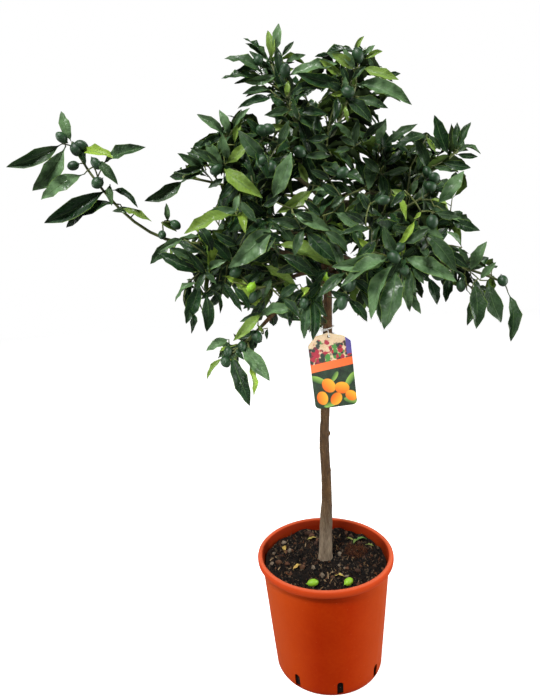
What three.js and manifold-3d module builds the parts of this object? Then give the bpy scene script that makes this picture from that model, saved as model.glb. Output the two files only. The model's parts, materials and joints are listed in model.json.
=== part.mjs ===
// A young citrus tree with small oval oranges, trained as a standard and growing in its nursery pot.
// Millimetres, +Z up. The origin is the middle of the pot's flat underside.
import * as THREE from "three";
import { mergeVertices } from "three/addons/utils/BufferGeometryUtils.js";
import Module from "manifold-3d";

const wasm = await Module();
wasm.setup();

// ---------------------------------------------------------------- driving sizes
const GAP = 0.3; // clearance between neighbouring pieces
const POT = {
  height: 241,
  baseRadius: 107,
  bodyRadius: 126.5,
  rimRadius: 135,
  rimHeight: 14,
  wall: 2.6,
  floor: 3,
  sides: 36,
  slots: 8,
  slotWidth: 7,
  slotHeight: 26,
  slotDepth: 9,
  firstSlot: -40, // degrees round from +Y, less the slot's own quarter turn
  drainHoles: 4,
  drainRadius: 7,
  drainCircle: 64,
};
const SOIL = { level: 221.5, rise: 3, clods: 7, smallestClod: 7, largestClod: 13 };
const FALLEN = { radius: 7.5, length: 10.9 };
const TRUNK = { sides: 10, rings: 12, top: 800, crowding: 1.25 };
// The stem's middle line and half its thickness, from the soil to the fork: it sways to the left,
// back to the right and leans a little to the right all the way.
const TRUNK_LINE = [
  { x: 1, z: SOIL.level + GAP, r: 15.2 },
  { x: 1.5, z: 237, r: 13.3 },
  { x: 5, z: 308, r: 12.1 },
  { x: 8.6, z: 372, r: 9.7 },
  { x: 7, z: 466, r: 9.4 },
  { x: 10.6, z: 523, r: 8.6 },
  { x: 20.9, z: 687, r: 8.8 },
  { x: 25.8, z: TRUNK.top, r: 7.4 },
];
const LEADER = { tip: [14, 8, 985], footRadius: 6.6, tipRadius: 4 };
const BOUGH = { sides: 5, steps: 2, footRadius: 5.2, tipRadius: 3.6, rise: 0.16 };
const TWIG = { sides: 3, steps: 2, footRadius: 3.2, tipRadius: 2.2, shootFoot: 1.9, shootTip: 1.4 };
const LEAF = {
  length: 86,
  shortest: 45,
  longest: 118,
  widest: 0.45, // share of the length at which the blade is widest
  half: 0.21, // half the width against the length
  keel: 0.035, // depth of the rib below the widest points
  sunk: 0.6, // how far the root starts behind the middle of the twig
  internode: 13,
  ways: 9, // how many places a leaf tries before it is left out
  facing: [1, 2.5, 1], // faces turn out of the crown, more to the front and back than sideways
};
const FRUIT = { radius: 10.5, length: 13 };
// The crown is a dome: no leaf but a named outer one, or one on an arm, reaches out of this ellipsoid.
const DOME = { middle: [20, 0, 880], reach: [312, 290, 325] };
const TAG = { width: 79, height: 138, thickness: 0.8, shoulder: 20, tilt: 6.5, hole: 3, top: 684 };
const TIE = { radius: 0.8, standOff: 3.2, slack: 2.6 };
const GOLDEN_ANGLE = Math.PI * (3 - Math.sqrt(5));
const UP = new THREE.Vector3(0, 0, 1);
const FRONT = new THREE.Vector3(0, -1, 0);

// ---------------------------------------------------------------- materials
const finish = (color, roughness, metalness = 0) =>
  new THREE.MeshStandardMaterial({ color, roughness, metalness });
const MATERIALS = {
  pot: finish(0xbf4a22, 0.5),
  soil: finish(0x2e2018, 0.95),
  bark: finish(0x6b5138, 0.85),
  leaf: finish(0x2f4d27, 0.5),
  fruit: finish(0x9cc233, 0.4),
  label: finish(0xd8712c, 0.35),
  tie: finish(0xe9e9e4, 0.5),
};

// ---------------------------------------------------------------- solids
// A closed three.js geometry as a solid that can be joined and cut.
function solidOf(geometry) {
  const bare = geometry.index ? geometry.toNonIndexed() : geometry.clone();
  bare.deleteAttribute("normal");
  bare.deleteAttribute("uv");
  const merged = mergeVertices(bare, 1e-4);
  const vertProperties = merged.attributes.position.array;
  const triVerts = new Uint32Array(merged.index.array);
  return new wasm.Manifold(new wasm.Mesh({ numProp: 3, vertProperties, triVerts }));
}

// The one outer body of a solid: loose scraps are dropped and sealed hollows are filled.
function mainBody(solid) {
  const bodies = solid.decompose();
  return bodies.reduce((best, body) => (body.volume() > best.volume() ? body : best));
}

function meshOf(name, solid, material) {
  const { vertProperties, triVerts } = solid.getMesh();
  const geometry = new THREE.BufferGeometry();
  geometry.setAttribute("position", new THREE.BufferAttribute(new Float32Array(vertProperties), 3));
  geometry.setIndex(new THREE.BufferAttribute(new Uint32Array(triVerts), 1));
  geometry.computeVertexNormals();
  const mesh = new THREE.Mesh(geometry, material);
  mesh.name = name;
  return mesh;
}

// A seeded random number from 0 to 1, the same on every run.
function randomFrom(seed) {
  let state = seed >>> 0;
  return () => {
    state = (state + 0x6d2b79f5) >>> 0;
    let mixed = Math.imul(state ^ (state >>> 15), state | 1);
    mixed ^= mixed + Math.imul(mixed ^ (mixed >>> 7), mixed | 61);
    return ((mixed ^ (mixed >>> 14)) >>> 0) / 4294967296;
  };
}

// Any unit vector square to another, turned round it by an angle.
function sideways(along, turn) {
  const reference = Math.abs(along.z) > 0.9 ? new THREE.Vector3(1, 0, 0) : UP;
  const side = new THREE.Vector3().crossVectors(along, reference).normalize();
  return side.applyAxisAngle(along, turn);
}

// The direction of a line of points at one of them: the mean of the steps on either side.
function tangentAt(points, i) {
  const before = points[Math.max(0, i - 1)];
  const after = points[Math.min(points.length - 1, i + 1)];
  return after.clone().sub(before).normalize();
}

// A bar along a line of points, tapering from its foot to its tip, closed at both ends.
function taperedBar(points, footRadius, tipRadius, sides) {
  const steps = points.length - 1;
  const geometry = new THREE.CylinderGeometry(1, 1, 1, sides, steps);
  const reference = sideways(points[steps].clone().sub(points[0]).normalize(), 0);
  const corners = geometry.attributes.position;
  for (let i = 0; i < corners.count; i++) {
    const share = corners.getY(i) + 0.5;
    const ring = Math.round(share * steps);
    const tangent = tangentAt(points, ring);
    const across = new THREE.Vector3().crossVectors(reference, tangent).normalize();
    const level = new THREE.Vector3().crossVectors(tangent, across);
    const radius = footRadius + (tipRadius - footRadius) * share;
    const point = points[ring]
      .clone()
      .addScaledVector(level, corners.getX(i) * radius)
      .addScaledVector(across, corners.getZ(i) * radius);
    corners.setXYZ(i, point.x, point.y, point.z);
  }
  return solidOf(geometry);
}

// ---------------------------------------------------------------- pot
function potWallRadius(z) {
  const share = z / (POT.height - POT.rimHeight);
  return POT.baseRadius + (POT.bodyRadius - POT.baseRadius) * share;
}

function makePot() {
  const underRim = POT.height - POT.rimHeight;
  const profile = [
    [0, 0],
    [POT.baseRadius - 2.5, 0],
    [potWallRadius(3), 3],
    [potWallRadius(POT.slotHeight + 7), POT.slotHeight + 7],
    [potWallRadius(underRim), underRim],
    [POT.rimRadius - 1.5, underRim - 1],
    [POT.rimRadius, POT.height - 5],
    [POT.rimRadius - 4.5, POT.height],
    [POT.rimRadius - 10, POT.height - 3],
    [potWallRadius(underRim) - POT.wall, underRim],
    [potWallRadius(POT.floor) - POT.wall, POT.floor],
    [0, POT.floor],
  ];
  const outline = profile.map(([r, z]) => new THREE.Vector2(r, z));
  let pot = solidOf(new THREE.LatheGeometry(outline, POT.sides).rotateX(Math.PI / 2));
  for (let i = 0; i < POT.slots; i++) {
    const slot = new THREE.BoxGeometry(POT.slotWidth, POT.slotDepth, POT.slotHeight);
    slot.translate(0, -POT.baseRadius, POT.slotHeight / 2 + POT.floor);
    slot.rotateZ(THREE.MathUtils.degToRad(POT.firstSlot + (i * 360) / POT.slots));
    pot = pot.subtract(solidOf(slot));
  }
  for (let i = 0; i < POT.drainHoles; i++) {
    const hole = new THREE.CylinderGeometry(POT.drainRadius, POT.drainRadius, 4 * POT.floor, 10);
    hole.rotateX(Math.PI / 2).translate(POT.drainCircle, 0, 0);
    hole.rotateZ(((i + 0.5) * 2 * Math.PI) / POT.drainHoles);
    pot = pot.subtract(solidOf(hole));
  }
  return pot;
}

// ---------------------------------------------------------------- soil
function soilHeight(x, y) {
  const uneven = Math.sin(x * 0.071 + 1.3) * Math.cos(y * 0.083) + 0.5 * Math.sin((x - y) * 0.16);
  const fromStem = Math.min(1, Math.max(0, (Math.hypot(x, y) - 24) / 20));
  return SOIL.level + SOIL.rise * uneven * fromStem;
}

function makeSoil() {
  const floor = POT.floor + GAP;
  const edge = potWallRadius(SOIL.level - 2 * SOIL.rise) - POT.wall - GAP;
  const low = potWallRadius(floor) - POT.wall - GAP;
  const rings = [edge, edge * 0.72, edge * 0.44, 20];
  const profile = [[0, floor], [low, floor], ...rings.map((r) => [r, SOIL.level]), [0, SOIL.level]];
  const outline = profile.map(([r, z]) => new THREE.Vector2(r, z));
  const geometry = new THREE.LatheGeometry(outline, POT.sides).rotateX(Math.PI / 2);
  const corners = geometry.attributes.position;
  for (let i = 0; i < corners.count; i++) {
    if (corners.getZ(i) < SOIL.level - 1) continue;
    corners.setZ(i, soilHeight(corners.getX(i), corners.getY(i)));
  }
  let soil = solidOf(geometry);
  const random = randomFrom(5);
  for (let i = 0; i < SOIL.clods; i++) {
    const size = SOIL.smallestClod + (SOIL.largestClod - SOIL.smallestClod) * random();
    const turn = i * GOLDEN_ANGLE + 0.4;
    const out = 36 + 70 * Math.sqrt((i + 0.5) / SOIL.clods);
    const clod = new THREE.IcosahedronGeometry(size, 0).scale(1.2, 1, 0.75).rotateZ(turn);
    const x = out * Math.cos(turn);
    const y = out * Math.sin(turn);
    clod.translate(x, y, soilHeight(x, y) + size * 0.1);
    soil = soil.add(solidOf(clod));
  }
  return mainBody(soil);
}

const boxesMeet = (a, b) => {
  const first = a.boundingBox();
  const second = b.boundingBox();
  return [0, 1, 2].every((i) => first.min[i] <= second.max[i] && second.min[i] <= first.max[i]);
};
const touches = (a, b, allowed = 1e-4) => boxesMeet(a, b) && a.intersect(b).volume() > allowed;

// A green orange that dropped early, let down onto the soil until only the gap is left.
function makeFallenFruit(x, y, turn, soil) {
  const stretch = FALLEN.length / FALLEN.radius;
  const fruit = new THREE.OctahedronGeometry(FALLEN.radius, 1).scale(stretch, 1, 1).rotateZ(turn);
  let solid = solidOf(fruit.translate(x, y, POT.height));
  const step = 0.1;
  while (!touches(solid, soil)) solid = solid.translate([0, 0, -step]);
  return solid.translate([0, 0, step + GAP]);
}

// ---------------------------------------------------------------- trunk and boughs
const trunkAxis = new THREE.CatmullRomCurve3(TRUNK_LINE.map(({ x, z }) => new THREE.Vector3(x, 0, z)));

function trunkRadius(z) {
  const above = TRUNK_LINE.findIndex((point) => point.z >= z - 1e-6);
  if (above < 1) return TRUNK_LINE[0].r;
  const low = TRUNK_LINE[above - 1];
  const high = TRUNK_LINE[above];
  return low.r + ((high.r - low.r) * (z - low.z)) / (high.z - low.z);
}

// The middle of an upright curve at a height.
function atHeight(curve, z) {
  let low = 0;
  let high = 1;
  for (let i = 0; i < 30; i++) {
    const middle = (low + high) / 2;
    if (curve.getPointAt(middle).z < z) low = middle;
    else high = middle;
  }
  return curve.getPointAt(low);
}

// Level rings along the stem's line, so that its foot is a flat cut on the soil.
function makeTrunk(spare) {
  const geometry = new THREE.CylinderGeometry(1, 1, 1, TRUNK.sides, TRUNK.rings).rotateX(Math.PI / 2);
  const foot = TRUNK_LINE[0].z;
  const corners = geometry.attributes.position;
  for (let i = 0; i < corners.count; i++) {
    const share = (corners.getZ(i) + 0.5) ** TRUNK.crowding;
    const z = foot + (TRUNK.top - foot) * share;
    const middle = atHeight(trunkAxis, z);
    const radius = trunkRadius(z) + spare;
    const lift = share > 0.999 ? spare : 0;
    corners.setXYZ(i, middle.x + corners.getX(i) * radius, corners.getY(i) * radius, z + lift);
  }
  return solidOf(geometry);
}

// A bough leaves its parent's middle line and bows upwards on its way to its tip.
function boughCurve(start, tip, rise) {
  const length = start.distanceTo(tip);
  const bend = start.clone().lerp(tip, 0.45).addScaledVector(UP, rise * length);
  return new THREE.QuadraticBezierCurve3(start, bend, tip);
}

// ---------------------------------------------------------------- the crown
// One row for each bough and the mass of foliage that it carries.
//   foot    height at which the bough leaves the trunk or the leader
//   bough   where the bough ends and the foliage begins
//   tip     where the mass's own stem ends
//   spread  length of the side shoots, and shoots is how many there are
//   hang    how far leaves and shoots sag: 0 upright, 1 hanging
//   outer   tips of the outermost leaves, which make the crown's outline
//   leaf    size of the leaves against the others
//   ranks   the leaves stand in two ranks
//   arm     the mass reaches out of the dome
const USUAL = { spread: 52, shoots: 4, hang: 0.1, leaf: 1, outer: [], fruits: 0, ranks: 0, arm: false };
const CROWN = [
  {
    name: "far_left",
    foot: 790,
    bough: [-198, -70, 856],
    tip: [-372, -108, 1012],
    spread: 34,
    shoots: 3,
    ranks: 2,
    leaf: 1.1,
    hang: -0.1,
    arm: true,
    outer: [
      [-385, -105, 1065],
      [-480, -110, 990],
      [-435, -125, 945],
      [-430, -110, 900],
      [-400, -95, 885],
      [-270, -80, 1010],
      [-305, -110, 995],
      [-318, -115, 905],
    ],
    fruits: 4,
  },
  {
    name: "left_low",
    foot: 808,
    bough: [-112, -72, 830],
    tip: [-198, -132, 812],
    hang: 0.7,
    outer: [
      [-255, -130, 845],
      [-280, -130, 825],
      [-230, -140, 765],
      [-215, -145, 735],
    ],
    fruits: 1,
  },
  {
    name: "low_left",
    foot: 774,
    bough: [-98, -114, 718],
    tip: [-150, -152, 680],
    spread: 40,
    shoots: 3,
    hang: 0.9,
    arm: true,
    outer: [
      [-90, -165, 645],
      [-130, -150, 595],
      [-190, -160, 645],
    ],
    fruits: 2,
  },
  {
    name: "front_low",
    foot: 780,
    bough: [6, -52, 784],
    tip: [-26, -136, 766],
    hang: 0.8,
    outer: [
      [-30, -140, 700],
      [-6, -138, 700],
      [6, -120, 738],
      [-54, -140, 720],
    ],
  },
  {
    name: "front_right",
    foot: 796,
    bough: [58, -85, 806],
    tip: [112, -195, 812],
    hang: 0.5,
    outer: [
      [80, -205, 715],
      [180, -215, 785],
    ],
    fruits: 2,
  },
  {
    name: "right_low",
    foot: 784,
    bough: [150, -55, 812],
    tip: [316, -70, 762],
    spread: 42,
    hang: 0.9,
    outer: [
      [270, -70, 685],
      [310, -80, 700],
      [335, -60, 660],
      [215, -80, 740],
    ],
    fruits: 2,
  },
  {
    name: "right",
    foot: 822,
    bough: [120, 2, 872],
    tip: [262, 14, 868],
    hang: 0.4,
    outer: [
      [275, 10, 955],
      [325, 10, 815],
    ],
    fruits: 1,
  },
  {
    name: "right_up",
    foot: 880,
    bough: [150, 20, 936],
    tip: [276, 32, 1000],
    spread: 46,
    outer: [
      [225, 30, 1055],
      [295, 40, 1045],
      [315, 40, 985],
    ],
    fruits: 1,
  },
  { name: "right_front", foot: 862, bough: [88, -55, 882], tip: [186, -105, 918], hang: 0.3, fruits: 2 },
  {
    name: "right_high",
    foot: 900,
    bough: [72, -28, 928],
    tip: [128, -52, 972],
    outer: [
      [125, -50, 1040],
      [195, -50, 1010],
    ],
  },
  {
    name: "top_right",
    foot: 965,
    bough: [40, 4, 1024],
    tip: [95, 18, 1140],
    spread: 46,
    outer: [
      [100, 20, 1185],
      [135, 20, 1165],
      [165, 20, 1125],
      [185, 20, 1075],
    ],
    fruits: 1,
  },
  {
    name: "top_left",
    foot: 955,
    bough: [-8, 0, 1022],
    tip: [-62, 0, 1160],
    spread: 46,
    outer: [
      [-45, 0, 1210],
      [-105, 0, 1190],
      [-135, 0, 1155],
      [-145, 0, 1125],
      [-15, 10, 1180],
    ],
    fruits: 2,
  },
  {
    name: "left_high",
    foot: 925,
    bough: [-52, 12, 976],
    tip: [-148, 30, 1015],
    outer: [
      [-195, 30, 1080],
      [-100, 30, 1085],
    ],
    fruits: 2,
  },
  {
    name: "left",
    foot: 860,
    bough: [-72, -22, 926],
    tip: [-215, -55, 966],
    hang: 0.4,
    outer: [
      [-285, -50, 930],
      [-220, -50, 1005],
    ],
    fruits: 1,
  },
  { name: "left_front", foot: 842, bough: [-50, -66, 886], tip: [-118, -148, 912], hang: 0.3 },
  { name: "front_middle", foot: 838, bough: [14, -78, 862], tip: [2, -188, 884], hang: 0.4, fruits: 2 },
  { name: "front_high", foot: 888, bough: [8, -56, 936], tip: [-8, -130, 985], hang: 0.2, fruits: 1 },
  { name: "top_middle", foot: 984, bough: [12, 34, 1034], tip: [20, 66, 1092], fruits: 1 },
  { name: "left_back", foot: 850, bough: [-60, 44, 868], tip: [-192, 82, 880], hang: 0.4, fruits: 1 },
  { name: "back_low_left", foot: 800, bough: [-42, 82, 806], tip: [-122, 188, 788], hang: 0.6, fruits: 1 },
  { name: "back_low_right", foot: 812, bough: [78, 76, 812], tip: [188, 165, 798], hang: 0.6, fruits: 1 },
  { name: "back_middle", foot: 838, bough: [22, 92, 850], tip: [28, 225, 866], hang: 0.4, fruits: 2 },
  { name: "back_right", foot: 898, bough: [80, 60, 918], tip: [188, 148, 960], hang: 0.2, fruits: 1 },
  { name: "back_left", foot: 902, bough: [-32, 66, 936], tip: [-108, 162, 985], hang: 0.2, fruits: 1 },
  { name: "back_high", foot: 940, bough: [34, 64, 988], tip: [58, 140, 1048], fruits: 1 },
  {
    name: "front_left",
    foot: 786,
    bough: [-46, -62, 790],
    tip: [-104, -136, 780],
    hang: 0.8,
    outer: [
      [-134, -150, 738],
    ],
  },
].map((row, index) => ({ ...USUAL, seed: index + 11, ...row }));

const vector = (list) => new THREE.Vector3(...list);

// The place and direction at a share of the way along a shoot's line of points.
function placeOn(points, share) {
  const steps = points.length - 1;
  const step = Math.min(steps - 1, Math.floor(share * steps));
  const root = points[step].clone().lerp(points[step + 1], share * steps - step);
  return { root, along: points[step + 1].clone().sub(points[step]).normalize() };
}

// Places leaves round a shoot, one at each joint, each on the next side of the shoot. Each comes with
// the other ways that it may take where something is in its way.
function leavesAlong(shoot, row, random, phase) {
  const { points } = shoot;
  const length = points[0].distanceTo(points[points.length - 1]);
  const count = Math.max(3, Math.round((0.9 * length) / LEAF.internode));
  const leaves = [];
  for (let i = 0; i < count; i++) {
    const share = 0.16 + (0.8 * (i + 0.7)) / (count - 0.3);
    const { root, along } = placeOn(points, share);
    const open = THREE.MathUtils.degToRad(76 - 44 * share + 14 * (random() - 0.5));
    const sag = (0.3 + 0.5 * row.hang) * (0.6 + 0.8 * random());
    const long = LEAF.length * row.leaf * (0.78 + 0.34 * random());
    const ways = [];
    for (let way = 0; way < LEAF.ways; way++) {
      const face = row.ranks ? 1.5 * (i + way) : phase + i + way;
      const side = sideways(along, ((2 * face + 1) * Math.PI) / TWIG.sides);
      const heading = along.clone().multiplyScalar(Math.cos(open)).addScaledVector(side, Math.sin(open));
      heading.addScaledVector(UP, way < TWIG.sides ? -sag : -0.2 * sag).normalize();
      ways.push({ shoot, root, along, tip: root.clone().addScaledVector(heading, long * (1 - 0.045 * way)) });
    }
    leaves.push({ ways });
  }
  return leaves;
}

// The shoots and leaves of one mass, grown from the end of its bough.
function growMass(row, boughTip, boughEnd) {
  const random = randomFrom(row.seed * 7919);
  const start = boughTip.clone().addScaledVector(boughEnd, GAP);
  const tip = vector(row.tip);
  const bend = start.clone().addScaledVector(boughEnd, 0.45 * start.distanceTo(tip));
  const stem = new THREE.QuadraticBezierCurve3(start, bend, tip).getPoints(TWIG.steps);
  const shoots = [{ points: stem, main: true }];
  for (let i = 0; i < row.shoots; i++) {
    const share = 0.14 + (0.76 * (i + 0.5)) / row.shoots;
    const { root, along } = placeOn(stem, share);
    const open = THREE.MathUtils.degToRad(72 - 28 * share);
    const side = sideways(along, row.seed + i * GOLDEN_ANGLE);
    const heading = along.multiplyScalar(Math.cos(open)).addScaledVector(side, Math.sin(open));
    heading.addScaledVector(UP, 0.35 - 0.8 * row.hang).normalize();
    const end = root.clone().addScaledVector(heading, row.spread * (0.85 + 0.35 * random()));
    shoots.push({ points: [root, end] });
  }
  const outer = row.outer.map((target) => outerLeaf(vector(target), shoots));
  const leaves = shoots.flatMap((shoot, i) => leavesAlong(shoot, row, random, row.seed + i));
  const fruits = [];
  for (let i = 0; i < row.fruits; i++) {
    const shoot = shoots[(i + 1) % shoots.length];
    const { root, along } = placeOn(shoot.points, 0.45 + 0.4 * random());
    const turn = 2 * Math.PI * random();
    const ways = [0, 2, 4].map((more) => {
      const heading = sideways(along, turn + more).addScaledVector(UP, -0.5).normalize();
      return { shoot, root, heading };
    });
    fruits.push({ ways });
  }
  return { shoots, outer, leaves, fruits };
}

// A leaf that reaches a given point, first from the joint that lets it be nearest to its natural length.
function outerLeaf(tip, shoots) {
  const ways = [];
  for (const shoot of shoots) {
    for (let share = 0.1; share < 1; share += 0.08) {
      const { root, along } = placeOn(shoot.points, share);
      const long = root.distanceTo(tip);
      if (long < LEAF.shortest || long > LEAF.longest) continue;
      ways.push({ shoot, root, along, tip, miss: Math.abs(long - LEAF.length), facing: FRONT });
    }
  }
  ways.sort((a, b) => a.miss - b.miss);
  return { outer: true, ways };
}

// A leaf is a lance-shaped blade with a keel below its rib: a tetrahedron whose four corners are its
// root, its tip and its two widest points. The root starts in the middle of the twig.
function makeLeaf({ root, along, tip, facing }) {
  const heading = tip.clone().sub(root);
  const long = heading.length();
  heading.normalize();
  const outward = facing ?? root.clone().sub(vector(DOME.middle)).multiply(vector(LEAF.facing)).normalize();
  const face = outward.clone().multiplyScalar(0.8).addScaledVector(along, 0.35).addScaledVector(UP, 0.5);
  face.addScaledVector(heading, -face.dot(heading)).normalize();
  const side = new THREE.Vector3().crossVectors(heading, face);
  const middle = root.clone().addScaledVector(heading, LEAF.widest * long);
  const edge = (across) =>
    middle
      .clone()
      .addScaledVector(side, across * LEAF.half * long)
      .addScaledVector(face, LEAF.keel * long);
  const heel = root.clone().addScaledVector(heading, -LEAF.sunk).addScaledVector(face, -LEAF.sunk * 0.4);
  const corners = [heel, tip, edge(1), edge(-1)];
  const blade = new THREE.TetrahedronGeometry(1);
  const points = blade.attributes.position;
  const order = [];
  for (let i = 0; i < points.count; i++) {
    const key = [points.getX(i), points.getY(i), points.getZ(i)].map(Math.sign).join();
    if (!order.includes(key)) order.push(key);
    const corner = corners[order.indexOf(key)];
    points.setXYZ(i, corner.x, corner.y, corner.z);
  }
  return { solid: solidOf(blade), corners };
}

function makeFruit({ root, heading }) {
  const fruit = new THREE.OctahedronGeometry(FRUIT.radius, 1).scale(1, FRUIT.length / FRUIT.radius, 1);
  fruit.applyQuaternion(new THREE.Quaternion().setFromUnitVectors(new THREE.Vector3(0, 1, 0), heading));
  const middle = root.clone().addScaledVector(heading, 0.92 * FRUIT.length);
  fruit.translate(middle.x, middle.y, middle.z);
  const corners = [middle.clone().addScaledVector(heading, FRUIT.length)];
  for (let i = 0; i < 4; i++) {
    corners.push(middle.clone().addScaledVector(sideways(heading, (i * Math.PI) / 2), FRUIT.radius));
  }
  return { solid: solidOf(fruit), corners };
}

// How far a point lies from the straight line between the ends of a mass.
function reachFrom(row, point) {
  const line = new THREE.Line3(vector(row.bough), vector(row.tip));
  return line.closestPointToPoint(point, true, new THREE.Vector3()).distanceTo(point);
}

// A point belongs to the mass whose line is nearest, with room to spare on each side of the border.
function ownSpace(row, point, room = 1.2) {
  const own = reachFrom(row, point);
  return CROWN.every((other) => other === row || own < reachFrom(other, point) - 2 * room);
}

function insideDome(point) {
  const share = point.clone().sub(vector(DOME.middle)).divide(vector(DOME.reach));
  return share.length() < 1;
}


// ---------------------------------------------------------------- label and its tie
function makeTag(x, y, top) {
  const { width, height, shoulder, hole } = TAG;
  const outline = new THREE.Shape();
  const corner = 9;
  outline.moveTo(-width / 2, -shoulder);
  outline.lineTo(-width / 2 + 14, -4);
  outline.lineTo(-hole, 0);
  outline.lineTo(width / 2 - 12, -9);
  outline.lineTo(width / 2, -shoulder);
  outline.absarc(width / 2 - corner, -height + corner, corner, 0, -Math.PI / 2, true);
  outline.absarc(-width / 2 + corner, -height + corner, corner, -Math.PI / 2, -Math.PI, true);
  outline.closePath();
  const eye = new THREE.Path();
  eye.absarc(0, -2.4 * hole, hole, 0, 2 * Math.PI, false);
  outline.holes.push(eye);
  const plate = new THREE.ExtrudeGeometry(outline, {
    depth: TAG.thickness,
    bevelEnabled: false,
    curveSegments: 3,
  });
  plate.rotateX(Math.PI / 2);
  plate.rotateY(THREE.MathUtils.degToRad(-TAG.tilt));
  return solidOf(plate.translate(x, y, top));
}

// The tie goes through the label's eye, over its top edge and round the trunk.
function makeTie(middle, around, front, eye) {
  const points = [
    [TAG.hole * 0.2, front - 2.6, eye + 2],
    [TAG.hole * 0.3, front, eye - 0.4],
    [around * 0.72, -around * 0.66, eye + 0.6],
    [around, 0, eye + 3],
    [0, around, eye + 6],
    [-around, 0, eye + 9],
    [-around * 0.6, -around * 1.02, eye + 11],
    [-1, front - 1, eye + 12],
    [0, front - 4, eye + 7],
  ];
  const line = points.map(([x, y, z]) => new THREE.Vector3(middle + x, y, z));
  const loop = new THREE.CatmullRomCurve3(line, true);
  let tie = solidOf(new THREE.TubeGeometry(loop, 24, TIE.radius, 4, true));
  const knot = new THREE.OctahedronGeometry(2.2).translate(middle + around, 0, eye + 3);
  tie = tie.add(solidOf(knot));
  return mainBody(tie);
}

// ---------------------------------------------------------------- the whole plant
const tree = new THREE.Group();
const add = (name, solid, material) => tree.add(meshOf(name, solid, material));

add("pot", makePot(), MATERIALS.pot);
const soil = makeSoil();
add("soil", soil, MATERIALS.soil);
add("fallen_fruit_left", makeFallenFruit(-32, -86, 0.5, soil), MATERIALS.fruit);
add("fallen_fruit_right", makeFallenFruit(34, -88, 0.2, soil), MATERIALS.fruit);
add("trunk", makeTrunk(0), MATERIALS.bark);

const limbs = [makeTrunk(GAP)]; // the trunk and boughs, each grown by the gap that others keep to it
const trunkTop = atHeight(trunkAxis, TRUNK.top - 4);
const leader = boughCurve(trunkTop, vector(LEADER.tip), 0);

function addLimb(name, curve, footRadius, tipRadius) {
  const points = curve.getSpacedPoints(BOUGH.steps);
  let limb = taperedBar(points, footRadius, tipRadius, BOUGH.sides);
  for (const other of limbs) if (boxesMeet(limb, other)) limb = limb.subtract(other);
  add(name, mainBody(limb), MATERIALS.bark);
  const { root, along } = placeOn(points, 1);
  const longer = [...points.slice(0, -1), root.clone().addScaledVector(along, GAP)];
  const room = taperedBar(longer, footRadius + 1.5 * GAP, tipRadius + 1.5 * GAP, BOUGH.sides);
  limbs.push(room);
  return { root, along, room };
}

addLimb("leader", leader, LEADER.footRadius, LEADER.tipRadius);
const bearers = CROWN.map((row) => {
  const start = row.foot < TRUNK.top ? atHeight(trunkAxis, row.foot) : atHeight(leader, row.foot);
  const curve = boughCurve(start, vector(row.bough), BOUGH.rise);
  return addLimb("bough_" + row.name, curve, BOUGH.footRadius, BOUGH.tipRadius);
});

const tagX = atHeight(trunkAxis, TAG.top).x;
const tagFront = -trunkRadius(TAG.top) - TIE.standOff;
add("label", makeTag(tagX, tagFront, TAG.top), MATERIALS.label);
const around = trunkRadius(TAG.top) + TIE.slack;
const eyeHeight = TAG.top - 2.4 * TAG.hole;
add("label_tie", makeTie(tagX, around, tagFront - TAG.thickness / 2, eyeHeight), MATERIALS.tie);
const tagSpace = new THREE.BoxGeometry(TAG.width + 20, 4 * TAG.hole + 2 * around, TAG.height + 30);
const roomForTag = solidOf(tagSpace.translate(tagX, tagFront + around / 2, TAG.top - TAG.height / 2 + 10));

// Each mass is fused from the twigs, leaves and fruit that stay in its own space, clear of the limbs
// and the other masses. A leaf that would cross another part of its own mass is turned or skipped too.
const masses = [];
CROWN.forEach((row, index) => {
  const bearer = bearers[index];
  const { shoots, outer, leaves, fruits } = growMass(row, bearer.root, bearer.along);
  const clear = (solid) => ![...limbs, ...masses, roomForTag].some((other) => touches(solid, other));
  const parts = [];
  for (const shoot of shoots) {
    const [foot, end] = shoot.main ? [TWIG.footRadius, TWIG.tipRadius] : [TWIG.shootFoot, TWIG.shootTip];
    shoot.solid = taperedBar(shoot.points, foot, end, TWIG.sides);
    if (shoot.main) shoot.solid = mainBody(shoot.solid.subtract(bearer.room));
    const inside = shoot.points.every((point) => ownSpace(row, point, 3));
    shoot.kept = shoot.main || (inside && clear(shoot.solid));
    if (shoot.kept) parts.push(shoot.solid);
  }
  const grow = ({ ways, outer }, make) => {
    for (const way of ways) {
      if (!way.shoot.kept) continue;
      const { solid, corners } = make(way);
      const bounded = !outer && !row.arm;
      const inside = corners.every((corner) => ownSpace(row, corner) && (!bounded || insideDome(corner)));
      const free = inside && clear(solid);
      if (free && !parts.some((part) => part !== way.shoot.solid && touches(part, solid, 0.001))) {
        parts.push(solid);
        return;
      }
    }
  };
  outer.forEach((leaf) => grow(leaf, makeLeaf));
  fruits.forEach((fruit) => grow(fruit, makeFruit));
  leaves.forEach((leaf) => grow(leaf, makeLeaf));
  const mass = mainBody(wasm.Manifold.union(parts).simplify(0.05));
  masses.push(mass);
  add("leaves_" + row.name, mass, MATERIALS.leaf);
});

export default tree;
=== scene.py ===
import json
import math
from itertools import product

import bmesh
import bpy
import numpy as np
from mathutils import Matrix, Quaternion, Vector, noise

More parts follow.
